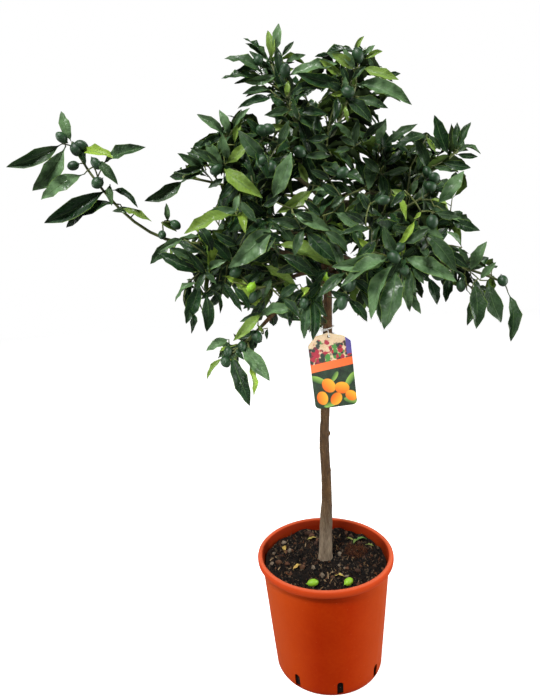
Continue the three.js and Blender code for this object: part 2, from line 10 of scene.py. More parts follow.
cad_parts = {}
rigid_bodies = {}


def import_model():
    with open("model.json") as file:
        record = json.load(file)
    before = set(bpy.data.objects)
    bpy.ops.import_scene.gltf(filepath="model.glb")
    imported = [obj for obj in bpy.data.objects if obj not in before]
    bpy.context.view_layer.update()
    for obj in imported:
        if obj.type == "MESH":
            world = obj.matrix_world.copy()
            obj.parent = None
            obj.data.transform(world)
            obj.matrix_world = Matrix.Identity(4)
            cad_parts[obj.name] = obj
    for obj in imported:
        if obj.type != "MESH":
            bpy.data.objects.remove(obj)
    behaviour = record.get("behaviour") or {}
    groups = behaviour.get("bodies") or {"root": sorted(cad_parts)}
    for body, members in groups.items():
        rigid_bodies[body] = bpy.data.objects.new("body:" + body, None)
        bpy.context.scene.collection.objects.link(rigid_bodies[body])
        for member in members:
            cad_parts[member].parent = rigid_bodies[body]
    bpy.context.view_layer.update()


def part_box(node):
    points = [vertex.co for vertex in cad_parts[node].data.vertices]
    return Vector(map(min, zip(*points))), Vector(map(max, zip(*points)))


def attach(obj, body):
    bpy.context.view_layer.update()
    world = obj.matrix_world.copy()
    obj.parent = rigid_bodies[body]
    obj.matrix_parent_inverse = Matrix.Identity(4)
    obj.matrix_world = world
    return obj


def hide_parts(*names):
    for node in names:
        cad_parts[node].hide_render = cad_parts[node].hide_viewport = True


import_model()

# ---------------------------------------------------------------- studio
# A pale floor, a white room and soft lamps: one high and a narrow one low in front, one on each side to
# rim the pot, and one behind. The camera stands level with the crown and looks a little down.


def paint(red, green, blue):
    """A colour as it looks on a paint card, 0 to 255, in the shader's linear values."""
    share = [value / 255 for value in (red, green, blue)]
    return tuple(v / 12.92 if v <= 0.04045 else ((v + 0.055) / 1.055) ** 2.4 for v in share) + (1.0,)


def put(tree, kind, inputs=None, **settings):
    """A node in a tree. An input is a plain value, or the socket that it is fed from."""
    node = tree.nodes.new(kind)
    for name, value in settings.items():
        setattr(node, name, value)
    for name, value in (inputs or {}).items():
        if isinstance(value, bpy.types.NodeSocket):
            tree.links.new(value, node.inputs[name])
        else:
            node.inputs[name].default_value = value
    return node


def blend(tree, share, first, second, **settings):
    """The colour that lies between two others at a share of the way."""
    values = {0: share, 6: first, 7: second}
    return put(tree, "ShaderNodeMix", values, data_type="RGBA", **settings).outputs[2]


def ranged(tree, value, low, high, bottom=0.0, top=1.0):
    """A value that runs from bottom to top while another runs from low to high."""
    ends = {"From Min": low, "From Max": high, "To Min": bottom, "To Max": top}
    return put(tree, "ShaderNodeMapRange", {"Value": value, **ends}).outputs[0]


def clouds(tree, vector, scale, detail):
    """Soft noise in a material."""
    values = {"Vector": vector, "Scale": scale, "Detail": detail}
    return put(tree, "ShaderNodeTexNoise", values).outputs["Fac"]


def object_place(tree):
    return put(tree, "ShaderNodeTexCoord").outputs["Object"]


def finish_named(name, **shader):
    """A material with its Principled shader, whose plain values are set here. Gives both and the tree."""
    material = bpy.data.materials.new(name)
    material.use_nodes = True
    tree = material.node_tree
    principled = tree.nodes["Principled BSDF"]
    for socket, value in shader.items():
        principled.inputs[socket.replace("_", " ")].default_value = value
    return material, tree, principled


def new_group(name, kind, takes, gives):
    """A node group with its sockets by name and type. Gives it and the sockets that feed it."""
    tree = bpy.data.node_groups.new(name, kind)
    for way, sockets in (("INPUT", takes), ("OUTPUT", gives)):
        for label, socket in sockets.items():
            tree.interface.new_socket(label, in_out=way, socket_type="NodeSocket" + socket)
    return tree, put(tree, "NodeGroupInput").outputs


def mottle_group():
    """Two colours in soft patches with a finer grain in them, and a height that follows the grain."""
    tree, given = new_group("mottle", "ShaderNodeTree",
                            dict(Vector="Vector", Patches="Float", Grain="Float", Mix="Float", Dark="Color",
                                 Light="Color"), dict(Color="Color", Height="Float"))
    patches = clouds(tree, given["Vector"], given["Patches"], 3.0)
    grain = clouds(tree, given["Vector"], given["Grain"], 4.0)
    both = put(tree, "ShaderNodeMix", {0: given["Mix"], 2: patches, 3: grain}).outputs[0]
    colour = blend(tree, ranged(tree, both, 0.32, 0.68), given["Dark"], given["Light"])
    put(tree, "NodeGroupOutput", {"Color": colour, "Height": grain})
    return tree


MOTTLE = mottle_group()


def mottled(tree, vector, patches, grain, mix, dark, light):
    """The mottle placed in a material with its own values: a colour and a height."""
    values = {"Vector": vector, "Patches": patches, "Grain": grain, "Mix": mix, "Dark": dark,
              "Light": light}
    return put(tree, "ShaderNodeGroup", values, node_tree=MOTTLE).outputs


def smooth(piece, angle=None):
    """Shades a mesh smoothly, with a crease wherever two faces meet at more than an angle in degrees."""
    piece.data.polygons.foreach_set("use_smooth", [True] * len(piece.data.polygons))
    if angle:
        piece.data.set_sharp_from_angle(angle=math.radians(angle))


def in_scene(name, data):
    piece = bpy.data.objects.new(name, data)
    bpy.context.scene.collection.objects.link(piece)
    return piece


def mesh_piece(name, points, faces, material, flat=False):
    """A mesh object with its place in its mesh, in metres."""
    mesh = bpy.data.meshes.new(name)
    mesh.from_pydata([tuple(p) for p in points], [], faces)
    mesh.materials.append(material)
    mesh.update()
    piece = in_scene(name, mesh)
    if not flat:
        smooth(piece)
    return piece


def soft_lamp(name, place, target, width, height, watts, spread=180):
    """A soft rectangular lamp that looks at a target. The spread of its light is in degrees."""
    lamp = bpy.data.lights.new(name, "AREA")
    lamp.shape, lamp.size, lamp.size_y, lamp.energy = "RECTANGLE", width, height, watts
    lamp.spread = math.radians(spread)
    holder = in_scene(name, lamp)
    holder.location = place
    holder.rotation_euler = (Vector(target) - Vector(place)).to_track_quat("-Z", "Y").to_euler()


floor_paint, tree, shader = finish_named("pale_floor", Roughness=0.9, Emission_Strength=1.0)
seen = put(tree, "ShaderNodeLightPath").outputs["Is Camera Ray"]
glow = ranged(tree, seen, 0.0, 1.0, 0.05, 0.88)
glow_white = put(tree, "ShaderNodeCombineColor", {0: glow, 1: glow, 2: glow})
tree.links.new(glow_white.outputs[0], shader.inputs["Emission Color"])
cloudy = mottled(tree, object_place(tree), 0.7, 3.0, 0.2, paint(243, 243, 242), paint(248, 248, 248))
dimmed = blend(tree, seen, paint(150, 150, 150), cloudy["Color"])
tree.links.new(dimmed, shader.inputs["Base Color"])
REACH = 5  # of the floor from its middle, in metres
corners = [(-REACH, -REACH, 0), (REACH, -REACH, 0), (REACH, REACH, 0), (-REACH, REACH, 0)]
floor = mesh_piece("floor", corners, [(0, 1, 2, 3)], floor_paint)

room = bpy.data.worlds.new("white_room")
room.use_nodes = True
walls = room.node_tree.nodes["Background"]
walls.inputs["Color"].default_value = (1, 1, 1, 1)
seen = put(room.node_tree, "ShaderNodeLightPath").outputs["Is Camera Ray"]
room.node_tree.links.new(ranged(room.node_tree, seen, 0.0, 1.0, 0.07), walls.inputs["Strength"])
bpy.context.scene.world = room
soft_lamp("high_front", (-0.8, -1.5, 2.8), (0, 0, 0.75), 0.8, 0.5, 90)
soft_lamp("low_front", (-0.25, -1.9, 0.80), (0.03, 0, 0.60), 0.25, 0.25, 0.24, 14)
soft_lamp("left_side", (-1.9, -0.3, 0.7), (0, 0, 0.2), 0.6, 1.6, 25)
soft_lamp("right_side", (1.9, -0.5, 0.7), (0, 0, 0.2), 0.6, 1.6, 42)
soft_lamp("behind", (0.4, 1.6, 2.6), (0, 0, 0.8), 1.0, 0.8, 17)
bpy.context.scene.view_settings.view_transform = "Standard"

camera = in_scene("camera", bpy.data.cameras.new("camera"))
camera.data.lens, camera.data.sensor_width = 27.77, 36
right, up = Vector((0.998416, -0.010614, -0.055255)), Vector((0.056265, 0.188338, 0.980491))
turn = Matrix((right, up, right.cross(up))).transposed().to_4x4()
camera.matrix_world = Matrix.Translation((-0.08727, -0.98730, 0.84499)) @ turn
bpy.context.scene.camera = camera

# ---------------------------------------------------------------- pot
# A nursery pot of injection-moulded polypropylene, thin-walled, with a rolled rim, eight slots round the
# foot and four drain holes. It is one turned wall; the slots and holes are cut out of it afterwards.
POT_BASE, POT_TOP, UNDER_RIM, POT_WALL = 0.107, 0.1265, 0.227, 0.0026  # the wall's radii, height, thickness
SLOTS, FIRST_SLOT, SLOT_WIDTH, SLOT_LOW, SLOT_HIGH = 8, -40, 0.012, 0.003, 0.033
HOLES, HOLE_RADIUS, HOLE_CIRCLE, CUT_DEPTH = 4, 0.007, 0.064, 0.012

UP = Vector((0, 0, 1))


def pot_radius(z):
    return POT_BASE + (POT_TOP - POT_BASE) * z / UNDER_RIM


def round_points(radius, count, height=0.0):
    """Points on a level circle about the axis."""
    turns = (2 * math.pi * k / count for k in range(count))
    return [(radius * math.cos(turn), radius * math.sin(turn), height) for turn in turns]


def turned(profile, segments):
    """Points and faces of a profile of radius and height turned round Z, with a pole on the axis."""
    points, faces, rings = [], [], []
    for radius, z in profile:
        if radius == 0:
            rings.append([len(points)] * segments)
            points.append((0, 0, z))
        else:
            rings.append(list(range(len(points), len(points) + segments)))
            points += round_points(radius, segments, z)
    for low, high in zip(rings, rings[1:]):
        for k in range(segments):
            n = (k + 1) % segments
            corners = tuple(dict.fromkeys((low[k], low[n], high[n], high[k])))
            if len(corners) > 2:
                faces.append(corners)
    return points, faces


def prism(outline, away, depth, centre, across, upward):
    """A closed cutter: a flat outline pushed through a wall."""
    ring = [centre + across * x + upward * y for x, y in outline]
    points = [p - away * depth / 2 for p in ring] + [p + away * depth / 2 for p in ring]
    n = len(ring)
    faces = [tuple(range(n - 1, -1, -1)), tuple(range(n, 2 * n))]
    faces += [(k, (k + 1) % n, n + (k + 1) % n, n + k) for k in range(n)]
    return points, faces


def joined(shapes, scale=1.0):
    """Several shapes in one list of points and faces."""
    points, faces = [], []
    for more_points, more_faces in shapes:
        faces += [tuple(i + len(points) for i in face) for face in more_faces]
        points += [p * scale for p in more_points]
    return points, faces


def reckon(tree, operation, *values, **settings):
    """The result of one sum."""
    return put(tree, "ShaderNodeMath", dict(enumerate(values)), operation=operation, **settings).outputs[0]


def axes_of(tree, vector):
    return put(tree, "ShaderNodeSeparateXYZ", {"Vector": vector}).outputs


def dots(tree, vector, scale):
    """Scattered cells in a material: how far off each one's middle is, and a colour of its own."""
    return put(tree, "ShaderNodeTexVoronoi", {"Vector": vector, "Scale": scale}).outputs


def layered(tree, colour, *layers):
    """A colour with others laid over it in turn, each with its own share."""
    for share, over in layers:
        colour = blend(tree, share, colour, paint(*over))
    return colour


def lay_on(tree, shader, colour, height, strength, distance):
    """Gives a material its colour and its relief."""
    bump = put(tree, "ShaderNodeBump", {"Height": height, "Strength": strength, "Distance": distance})
    tree.links.new(colour, shader.inputs["Base Color"])
    tree.links.new(bump.outputs[0], shader.inputs["Normal"])


pot_plastic, tree, shader = finish_named("terracotta_plastic", Roughness=0.5, Specular_IOR_Level=0.05,
                                         Specular_Tint=paint(255, 150, 84))
place = object_place(tree)
body = mottled(tree, place, 9.0, 160.0, 0.3, paint(168, 40, 3), paint(182, 54, 6))
parts = axes_of(tree, place)
height, sideways = parts["Z"], reckon(tree, "ABSOLUTE", parts["X"])
axis = put(tree, "ShaderNodeMapping", {"Vector": place, "Scale": (1, 1, 0)}).outputs[0]
reach = put(tree, "ShaderNodeVectorMath", {0: axis}, operation="LENGTH").outputs["Value"]
outer = reckon(tree, "MULTIPLY_ADD", height, (POT_TOP - POT_BASE) / UNDER_RIM, POT_BASE)
inwards = reckon(tree, "SUBTRACT", outer, reach)
# The pot's colour with painted light and shade laid over it: lighter sides, painted highlights on the rim and
# painted shade on the inner wall; the pale dots are dust.
dust_and_painted_light = layered(
    tree, body["Color"],
    (ranged(tree, sideways, 0.03, 0.125, 0.0, 0.75), (192, 82, 26)),  # painted light on the left and right sides
    (ranged(tree, height, 0.2265, 0.2285), (186, 64, 26)),  # the rolled lip, a little lighter and more orange: a subtle painted highlight
    (ranged(tree, dots(tree, place, 75.0)["Distance"], 0.03, 0.07, 0.3, 0.0), (206, 120, 76)),  # dust
    (ranged(tree, height, 0.2382, 0.2408, 0.0, 0.5), (214, 112, 80)),  # a painted highlight along the top of the rim
    (ranged(tree, inwards, 0.0012, 0.0021, 0.0, 0.75), (104, 26, 12)))  # painted shade on the inner wall under the rim
stretched = put(tree, "ShaderNodeMapping", {"Vector": place, "Scale": (1, 1, 0.12)}).outputs[0]
streaks = ranged(tree, clouds(tree, stretched, 38.0, 5.0), 0.3, 0.75, 0.4, 0.6)
tree.links.new(streaks, shader.inputs["Roughness"])
lay_on(tree, shader, dust_and_painted_light, body["Height"], 0.12, 0.0006)

profile = [(0, 0), (0.05, 0), (0.092, 0), (0.0995, 0.0003), (0.1035, 0.0012), (0.1062, 0.0031)]
profile += [(pot_radius(z), z) for z in (0.006, 0.016, 0.029, 0.046)]
profile += [(pot_radius(z), z) for z in np.linspace(0.07, 0.2235, 8)]
profile += [(0.1270, 0.2256), (0.1290, 0.2260), (0.1318, 0.2260), (0.1335, 0.2268), (0.1345, 0.2288),
            (0.1350, 0.2320), (0.1350, 0.2355), (0.1342, 0.2386), (0.1325, 0.2404), (0.1303, 0.2410),
            (0.1280, 0.2406), (0.1262, 0.2392), (0.1251, 0.2370), (0.1243, 0.2330)]
profile += [(pot_radius(z) - POT_WALL, z) for z in np.linspace(0.228, 0.008, 12)]
profile += [(0.1030, 0.0038), (0.1005, 0.0030), (0.05, 0.003), (0, 0.003)]
pot = mesh_piece("pot_wall", *turned(profile, 144), pot_plastic)

half, spring = SLOT_WIDTH / 2, SLOT_HIGH - SLOT_WIDTH / 2
arch = [(-half, SLOT_LOW), (half, SLOT_LOW), (half, spring)]
arch += [(half * math.cos(a), spring + half * math.sin(a)) for a in np.linspace(0.35, math.pi - 0.35, 6)]
arch += [(-half, spring)]
round_hole = [point[:2] for point in round_points(HOLE_RADIUS, 16)]
cutters = []
for k in range(SLOTS):
    angle = math.radians(FIRST_SLOT + 360 / SLOTS * k)
    out = Vector((math.sin(angle), -math.cos(angle), 0))
    cutters.append(prism(arch, out, CUT_DEPTH, out * 0.1075, out.cross(UP), UP))
for k in range(HOLES):
    angle = math.radians(45 + 360 / HOLES * k)
    middle = Vector((HOLE_CIRCLE * math.cos(angle), HOLE_CIRCLE * math.sin(angle), 0.0015))
    cutters.append(prism(round_hole, UP, CUT_DEPTH, middle, Vector((1, 0, 0)), Vector((0, 1, 0))))
cutter = mesh_piece("pot_cutter", *joined(cutters), pot_plastic, flat=True)


def face_outwards(piece):
    """Turns every face of a closed mesh outwards."""
    shape = bmesh.new()
    shape.from_mesh(piece.data)
    bmesh.ops.remove_doubles(shape, verts=shape.verts, dist=1e-7)
    bmesh.ops.recalc_face_normals(shape, faces=shape.faces)
    shape.to_mesh(piece.data)
    shape.free()


def settle(piece):
    """Turns what a piece's modifiers make into its plain mesh, and takes the modifiers away."""
    ready = bpy.context.evaluated_depsgraph_get()
    made = bpy.data.meshes.new_from_object(piece.evaluated_get(ready))
    piece.modifiers.clear()
    piece.data = made
    return piece


for shape in (pot, cutter):
    face_outwards(shape)
cut = pot.modifiers.new("slots", "BOOLEAN")
cut.operation, cut.solver, cut.object = "DIFFERENCE", "EXACT", cutter
settle(pot)
bpy.data.objects.remove(cutter)
pot.data.set_sharp_from_angle(angle=math.radians(32))
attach(pot, "root")
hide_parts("pot")

# ---------------------------------------------------------------- soil
# Peat potting mix with bark and grit in it, filled to 20 mm under the rim. It is one bed with an uneven
# top, and loose crumbs, chips and fibres are strewn on it by a scatter with a fixed seed.
SOIL_LEVEL, SOIL_RISE, SOIL_EDGE = 0.2215, 0.003, 0.1202
HEAP, HEAP_REACH, LUMPS = 0.0042, 0.026, 0.0022  # the mix is heaped a little round the stem


def soil_height(x, y):
    swell = math.sin(71 * x + 1.3) * math.cos(83 * y) + 0.5 * math.sin(160 * (x - y))
    away = min(1, max(0, (math.hypot(x, y) - 0.024) / 0.02))
    return SOIL_LEVEL + SOIL_RISE * swell * away


def rough_soil(x, y):
    lumps = noise.fractal(Vector((x * 95, y * 95, 3.1)), 0.8, 2.1, 4)
    fade = min(1, max(0, (SOIL_EDGE - math.hypot(x, y)) / 0.01))
    heaped = HEAP * math.exp(-((math.hypot(x, y) / HEAP_REACH) ** 4))
    return soil_height(x, y) - 0.0009 + LUMPS * lumps * (0.3 + 0.7 * fade) + heaped


peat, tree, shader = finish_named("peat", Roughness=0.95, Specular_IOR_Level=0.2)
place = object_place(tree)
ground = mottled(tree, place, 60.0, 420.0, 0.55, paint(9, 6, 5), paint(32, 22, 15))
flecks = dots(tree, place, 260.0)
fleck_mask = ranged(tree, flecks["Distance"], 0.12, 0.2, 0.75, 0.0)
chosen = put(tree, "ShaderNodeSeparateColor", {"Color": flecks["Color"]}).outputs[0]
few = reckon(tree, "MULTIPLY", fleck_mask, reckon(tree, "GREATER_THAN", chosen, 0.62))
flecked = layered(tree, ground["Color"], (few, (150, 122, 92)))
lay_on(tree, shader, flecked, ground["Height"], 0.9, 0.0015)

RINGS, SPOKES = 58, 150
SIDES = [(0.1201, 0.2060), (0.1105, 0.1000), (0.1030, 0.0055)]  # radius and height, down to the pot's floor


def band(first, k):
    """The quad of one spoke between a ring of points and the next."""
    n = (k + 1) % SPOKES
    return first + k, first + SPOKES + k, first + SPOKES + n, first + n


points, faces = [(0, 0, rough_soil(0, 0))], []
for ring in range(1, RINGS + 1):
    points += [(x, y, rough_soil(x, y)) for x, y, _ in round_points(SOIL_EDGE * ring / RINGS, SPOKES)]
for radius, z in SIDES:
    points += round_points(radius, SPOKES, z)
points.append((0, 0, SIDES[-1][1]))
last = 1 + (RINGS + 2) * SPOKES
for k in range(SPOKES):
    faces.append((0, 1 + k, 1 + (k + 1) % SPOKES))
    faces += [band(1 + ring * SPOKES, k) for ring in range(RINGS + 2)]
    faces.append((last + k, len(points) - 1, last + (k + 1) % SPOKES))
soil = mesh_piece("soil_bed", points, faces, peat)
face_outwards(soil)
soil.data.set_sharp_from_angle(angle=math.radians(50))
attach(soil, "root")
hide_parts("soil")


def attribute(tree, name):
    """A value that each point of the mesh carries."""
    return put(tree, "ShaderNodeAttribute", attribute_name=name).outputs["Fac"]


def strewn_material(name, tones, roughness=0.9):
    """Crumbs of one kind, each with its own tone from a row of plain colours."""
    material, tree, shader = finish_named(name, Roughness=roughness, Specular_IOR_Level=0.25)
    ramp = put(tree, "ShaderNodeValToRGB", {"Fac": attribute(tree, "tone")})
    ramp.color_ramp.interpolation = "CONSTANT"
    for k, colour in enumerate(tones):
        stop = ramp.color_ramp.elements[0] if k == 0 else ramp.color_ramp.elements.new(k / len(tones))
        stop.color = paint(*colour)
    ramp.color_ramp.elements.remove(ramp.color_ramp.elements[-1])
    grain = mottled(tree, object_place(tree), 150.0, 700.0, 0.6, paint(140, 140, 140), paint(255, 255, 255))
    toned = blend(tree, 1.0, ramp.outputs["Color"], grain["Color"], blend_type="MULTIPLY")
    lay_on(tree, shader, toned, grain["Height"], 0.6, 0.0008)
    return material


def shapes_of(tree, shelf):
    """The shapes on a shelf, each one apart, for a scatter to pick from."""
    return put(tree, "GeometryNodeCollectionInfo",
               {"Collection": shelf, "Separate Children": True, "Reset Children": True}).outputs[0]


def end_scatter(tree, result, instances, material):
    """Makes real meshes out of a scatter's instances and gives them their material."""
    real = put(tree, "GeometryNodeRealizeInstances", {"Geometry": instances}).outputs[0]
    clad = put(tree, "GeometryNodeSetMaterial", {"Geometry": real, "Material": material}).outputs[0]
    put(tree, "NodeGroupOutput", {result: clad})
    return tree


def strew_tree():
    """Strews shapes over a surface: points at random on its faces, a turned and sized shape on each."""
    tree, given = new_group("strew", "GeometryNodeTree",
                            dict(Surface="Geometry", Shapes="Collection", Density="Float", Seed="Int",
                                 Smallest="Float", Largest="Float", Sink="Float", Material="Material"),
                            dict(Strewn="Geometry"))
    seed = given["Seed"]
    spots = put(tree, "GeometryNodeDistributePointsOnFaces",
                {"Mesh": given["Surface"], "Density": given["Density"], "Seed": seed})
    tone = put(tree, "FunctionNodeRandomValue", {"Seed": reckon(tree, "ADD", seed, 5.0)}, data_type="FLOAT")
    any_turn = {1: (6.3, 6.3, 6.3), "Seed": reckon(tree, "ADD", seed, 6.0)}
    spin = put(tree, "FunctionNodeRandomValue", any_turn, data_type="FLOAT_VECTOR")
    size = put(tree, "FunctionNodeRandomValue", {2: given["Smallest"], 3: given["Largest"], "Seed": seed},
               data_type="FLOAT")
    toned = put(tree, "GeometryNodeStoreNamedAttribute",
                {"Geometry": spots.outputs["Points"], "Name": "tone", "Value": tone.outputs[1]},
                data_type="FLOAT", domain="POINT")
    placed = put(tree, "GeometryNodeInstanceOnPoints",
                 {"Points": toned.outputs[0], "Instance": shapes_of(tree, given["Shapes"]),
                  "Pick Instance": True, "Rotation": spin.outputs[0], "Scale": size.outputs[1]})
    down = put(tree, "ShaderNodeCombineXYZ", {"Z": given["Sink"]})
    lowered = put(tree, "GeometryNodeTranslateInstances",
                  {"Instances": placed.outputs[0], "Translation": down.outputs[0], "Local Space": False})
    return end_scatter(tree, "Strewn", lowered.outputs[0], given["Material"])


def run_nodes(piece, tree, **inputs):
    """Gives a piece a node tree with its named inputs, and turns the result into its plain mesh."""
    modifier = piece.modifiers.new(tree.name, "NODES")
    modifier.node_group = tree
    for item in tree.interface.items_tree:
        if item.in_out == "INPUT" and item.name in inputs:
            modifier[item.identifier] = inputs[item.name]
    return settle(piece)


def shape_shelf(name, meshes):
    """The shapes that a scatter picks from, kept out of the scene."""
    shelf = bpy.data.collections.new(name)
    for k, (points, faces) in enumerate(meshes):
        mesh = bpy.data.meshes.new(f"{name}_{k:02d}")
        mesh.from_pydata([tuple(p) for p in points], [], faces)
        mesh.update()
        shelf.objects.link(bpy.data.objects.new(mesh.name, mesh))
    return shelf


def clear_shelf(shelf):
    for thing in list(shelf.objects):
        bpy.data.objects.remove(thing)
    bpy.data.collections.remove(shelf)


def lump(seed, squash, subdivisions=1):
    """A rough crumb, one unit across, from a ball with its corners pushed in and out."""
    ball = bmesh.new()
    bmesh.ops.create_icosphere(ball, subdivisions=subdivisions, radius=0.5)
    points = []
    for vertex in ball.verts:
        push = 1 + 0.55 * noise.noise(vertex.co * 2.3 + Vector((seed * 7.7, 0, 0)))
        points.append(vertex.co * Vector(squash) * push)
    faces = [tuple(v.index for v in face.verts) for face in ball.faces]
    ball.free()
    return points, faces


STREW = strew_tree()
crumbs = shape_shelf("crumb", [lump(k, (1, 0.8 + 0.05 * k, 0.6 + 0.05 * k)) for k in range(5)])
slivers = shape_shelf("sliver", [lump(k, (2.4 + 0.4 * k, 0.35 + 0.1 * k, 0.16)) for k in range(5)])
fibres = shape_shelf("fibre", [lump(k, (7.0, 0.10, 0.10)) for k in range(3)])
pebbles = shape_shelf("pebble", [lump(k, (1, 0.85, 0.75), 2) for k in range(4)])
LIFT, STREWN_RINGS = 0.0003, range(6, 55)  # clear of the stem and of the pot's wall
top_points = [(x, y, z + LIFT) for x, y, z in points[1:1 + (STREWN_RINGS.stop + 1) * SPOKES]]
top_faces = [band(ring * SPOKES, k) for ring in STREWN_RINGS for k in range(SPOKES)]
WHOLE_BED, TUFT = (0, 0, 0.13), (0.066, 0.018, 0.022)  # middle and reach, in metres
CRUMB_TONES = [(7, 5, 4), (17, 12, 9), (9, 7, 6), (34, 23, 15), (96, 80, 62), (6, 5, 4)]
SLIVER_TONES = [(96, 58, 34), (160, 124, 86), (70, 44, 28), (186, 156, 118), (120, 74, 42)]
FIBRE_TONES = [(150, 96, 50), (104, 66, 38), (190, 150, 100)]
TUFT_TONES = [(112, 56, 32), (66, 32, 20), (150, 98, 54), (84, 40, 24)]
PEBBLE_TONES = [(104, 70, 48), (74, 50, 36), (140, 124, 104), (92, 58, 38)]
STREWN = [  # name, shapes, where, how many to the square metre, seed, smallest, largest, sink and material
    ("soil_crumbs", crumbs, WHOLE_BED, 56000, 3, 0.0016, 0.0062, 0.0002,
     strewn_material("crumb_tones", CRUMB_TONES)),
    ("soil_slivers", slivers, WHOLE_BED, 6500, 11, 0.0022, 0.0052, 0.0006,
     strewn_material("sliver_tones", SLIVER_TONES)),
    ("soil_fibres", fibres, WHOLE_BED, 1500, 23, 0.0014, 0.0034, 0.0008,
     strewn_material("fibre_tones", FIBRE_TONES)),
    ("bark_tuft", fibres, TUFT, 520000, 41, 0.0011, 0.0026, 0.0020,
     strewn_material("tuft_tones", TUFT_TONES)),
    ("soil_pebbles", pebbles, WHOLE_BED, 900, 31, 0.0050, 0.0112, 0.0012,
     strewn_material("pebble_tones", PEBBLE_TONES, 0.75)),
]
for name, shelf, (across, back, reach), density, seed, smallest, largest, sink, material in STREWN:
    here = [face for face in top_faces
            if math.hypot(top_points[face[0]][0] - across, top_points[face[0]][1] - back) < reach]
    strewn = mesh_piece(name, top_points, here, material)
    run_nodes(strewn, STREW, Shapes=shelf, Density=density, Seed=seed, Smallest=smallest, Largest=largest,
              Sink=sink, Material=material)
    smooth(strewn, 38)
    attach(strewn, "root")
for shelf in (crumbs, slivers, fibres, pebbles):
    clear_shelf(shelf)

STONES = [  # the bigger ones, one by one: across, back, size and tone
    (-94, -6, 12, 0.1), (-89, 15, 9, 0.3), (-48, -29, 13, 0.1), (-77, -15, 10, 0.8), (57, -48, 12, 0.3),
    (-81, 62, 11, 0.6), (-66, 34, 10, 0.1), (-25, 96, 17, 0.3), (-20, 88, 12, 0.1), (-103, 30, 8, 0.6),
    (34, -62, 8, 0.6), (78, 52, 10, 0.3)]
shapes, tones = [], []
for k, (x, y, wide, tone) in enumerate(STONES):
    shape, faces = lump(k + 9, (1, 0.85, 0.7), 2)
    middle = Vector((x / 1000, y / 1000, rough_soil(x / 1000, y / 1000) + 0.0002 * wide))
    shapes.append(([middle + corner * wide / 1000 for corner in shape], faces))
    tones += [tone] * len(shape)
stones = mesh_piece("soil_stones", *joined(shapes), bpy.data.materials["pebble_tones"])
stones.data.attributes.new("tone", "FLOAT", "POINT").data.foreach_set("value", tones)
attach(stones, "root")

# ---------------------------------------------------------------- trunk and boughs
# The woody frame of a grafted standard: one stem with a sway in it, a leader and 26 boughs. Its bark is
# grey at the foot and brown above, thin, with fine furrows along it. It grows as one skin.
TRUNK_LINE = [  # across, height and radius, in millimetres
    (1, 221.8, 15.2), (1.5, 237, 13.3), (5, 308, 12.1), (8.6, 372, 9.7), (7, 466, 9.4), (10.6, 523, 8.6),
    (20.9, 687, 8.8), (25.8, 800, 7.4)]
LEADER_TIP, LEADER_FOOT, LEADER_END = Vector((14, 8, 985)), 6.6, 4.0
BOUGH_FOOT, BOUGH_END, BOUGH_RISE, BOUGH_BEND = 5.2, 3.6, 0.16, 0.45
TO_METRES = 0.001  # the crown is worked out in millimetres
GOLDEN_ANGLE = math.pi * (3 - math.sqrt(5))
# One row for each bough and the foliage on it: its name, the height where it leaves the trunk or leader,
# where the bough ends, where the foliage's own stem ends, and what is out of the usual there.
USUAL = dict(spread=52, shoots=4, hang=0.1, leaf=1, fruits=0, ranks=0, young=0)
CROWN = [
    ("far_left", 790, (-198, -70, 856), (-372, -108, 1012),
     dict(spread=34, shoots=3, ranks=2, leaf=1.1, hang=-0.1, fruits=4, young=2)),
    ("left_low", 808, (-112, -72, 830), (-198, -132, 812), dict(hang=0.7, fruits=1)),
    ("low_left", 774, (-98, -114, 718), (-150, -152, 680),
     dict(spread=40, shoots=3, hang=0.9, fruits=2, young=2)),
    ("front_low", 780, (6, -52, 784), (-26, -136, 766), dict(hang=0.8, young=1)),
    ("front_right", 796, (58, -85, 806), (112, -195, 812), dict(hang=0.5, fruits=2)),
    ("right_low", 784, (150, -55, 812), (316, -70, 762), dict(spread=42, hang=0.9, fruits=2)),
    ("right", 822, (120, 2, 872), (262, 14, 868), dict(hang=0.4, fruits=1)),
    ("right_up", 880, (150, 20, 936), (276, 32, 1000), dict(spread=46, fruits=1)),
    ("right_front", 862, (88, -55, 882), (186, -105, 918), dict(hang=0.3, fruits=2)),
    ("right_high", 900, (72, -28, 928), (128, -52, 972), dict()),
    ("top_right", 965, (40, 4, 1024), (95, 18, 1140), dict(spread=46, fruits=1, young=1)),
    ("top_left", 955, (-8, 0, 1022), (-62, 0, 1160), dict(spread=46, fruits=2, young=2)),
    ("left_high", 925, (-52, 12, 976), (-148, 30, 1015), dict(fruits=2, young=4)),
    ("left", 860, (-72, -22, 926), (-215, -55, 966), dict(hang=0.4, fruits=1, young=3)),
    ("left_front", 842, (-50, -66, 886), (-118, -148, 912), dict(hang=0.3, young=2)),
    ("front_middle", 838, (14, -78, 862), (2, -188, 884), dict(hang=0.4, fruits=2, young=2)),
    ("front_high", 888, (8, -56, 936), (-8, -130, 985), dict(hang=0.2, fruits=1, young=3)),
    ("top_middle", 984, (12, 34, 1034), (20, 66, 1092), dict(fruits=1)),
    ("left_back", 850, (-60, 44, 868), (-192, 82, 880), dict(hang=0.4, fruits=1, young=1)),
    ("back_low_left", 800, (-42, 82, 806), (-122, 188, 788), dict(hang=0.6, fruits=1)),
    ("back_low_right", 812, (78, 76, 812), (188, 165, 798), dict(hang=0.6, fruits=1)),
    ("back_middle", 838, (22, 92, 850), (28, 225, 866), dict(hang=0.4, fruits=2, young=1)),
    ("back_right", 898, (80, 60, 918), (188, 148, 960), dict(hang=0.2, fruits=1, young=1)),
    ("back_left", 902, (-32, 66, 936), (-108, 162, 985), dict(hang=0.2, fruits=1)),
    ("back_high", 940, (34, 64, 988), (58, 140, 1048), dict(fruits=1, young=1)),
    ("front_left", 786, (-46, -62, 790), (-104, -136, 780), dict(hang=0.8, young=1)),
]


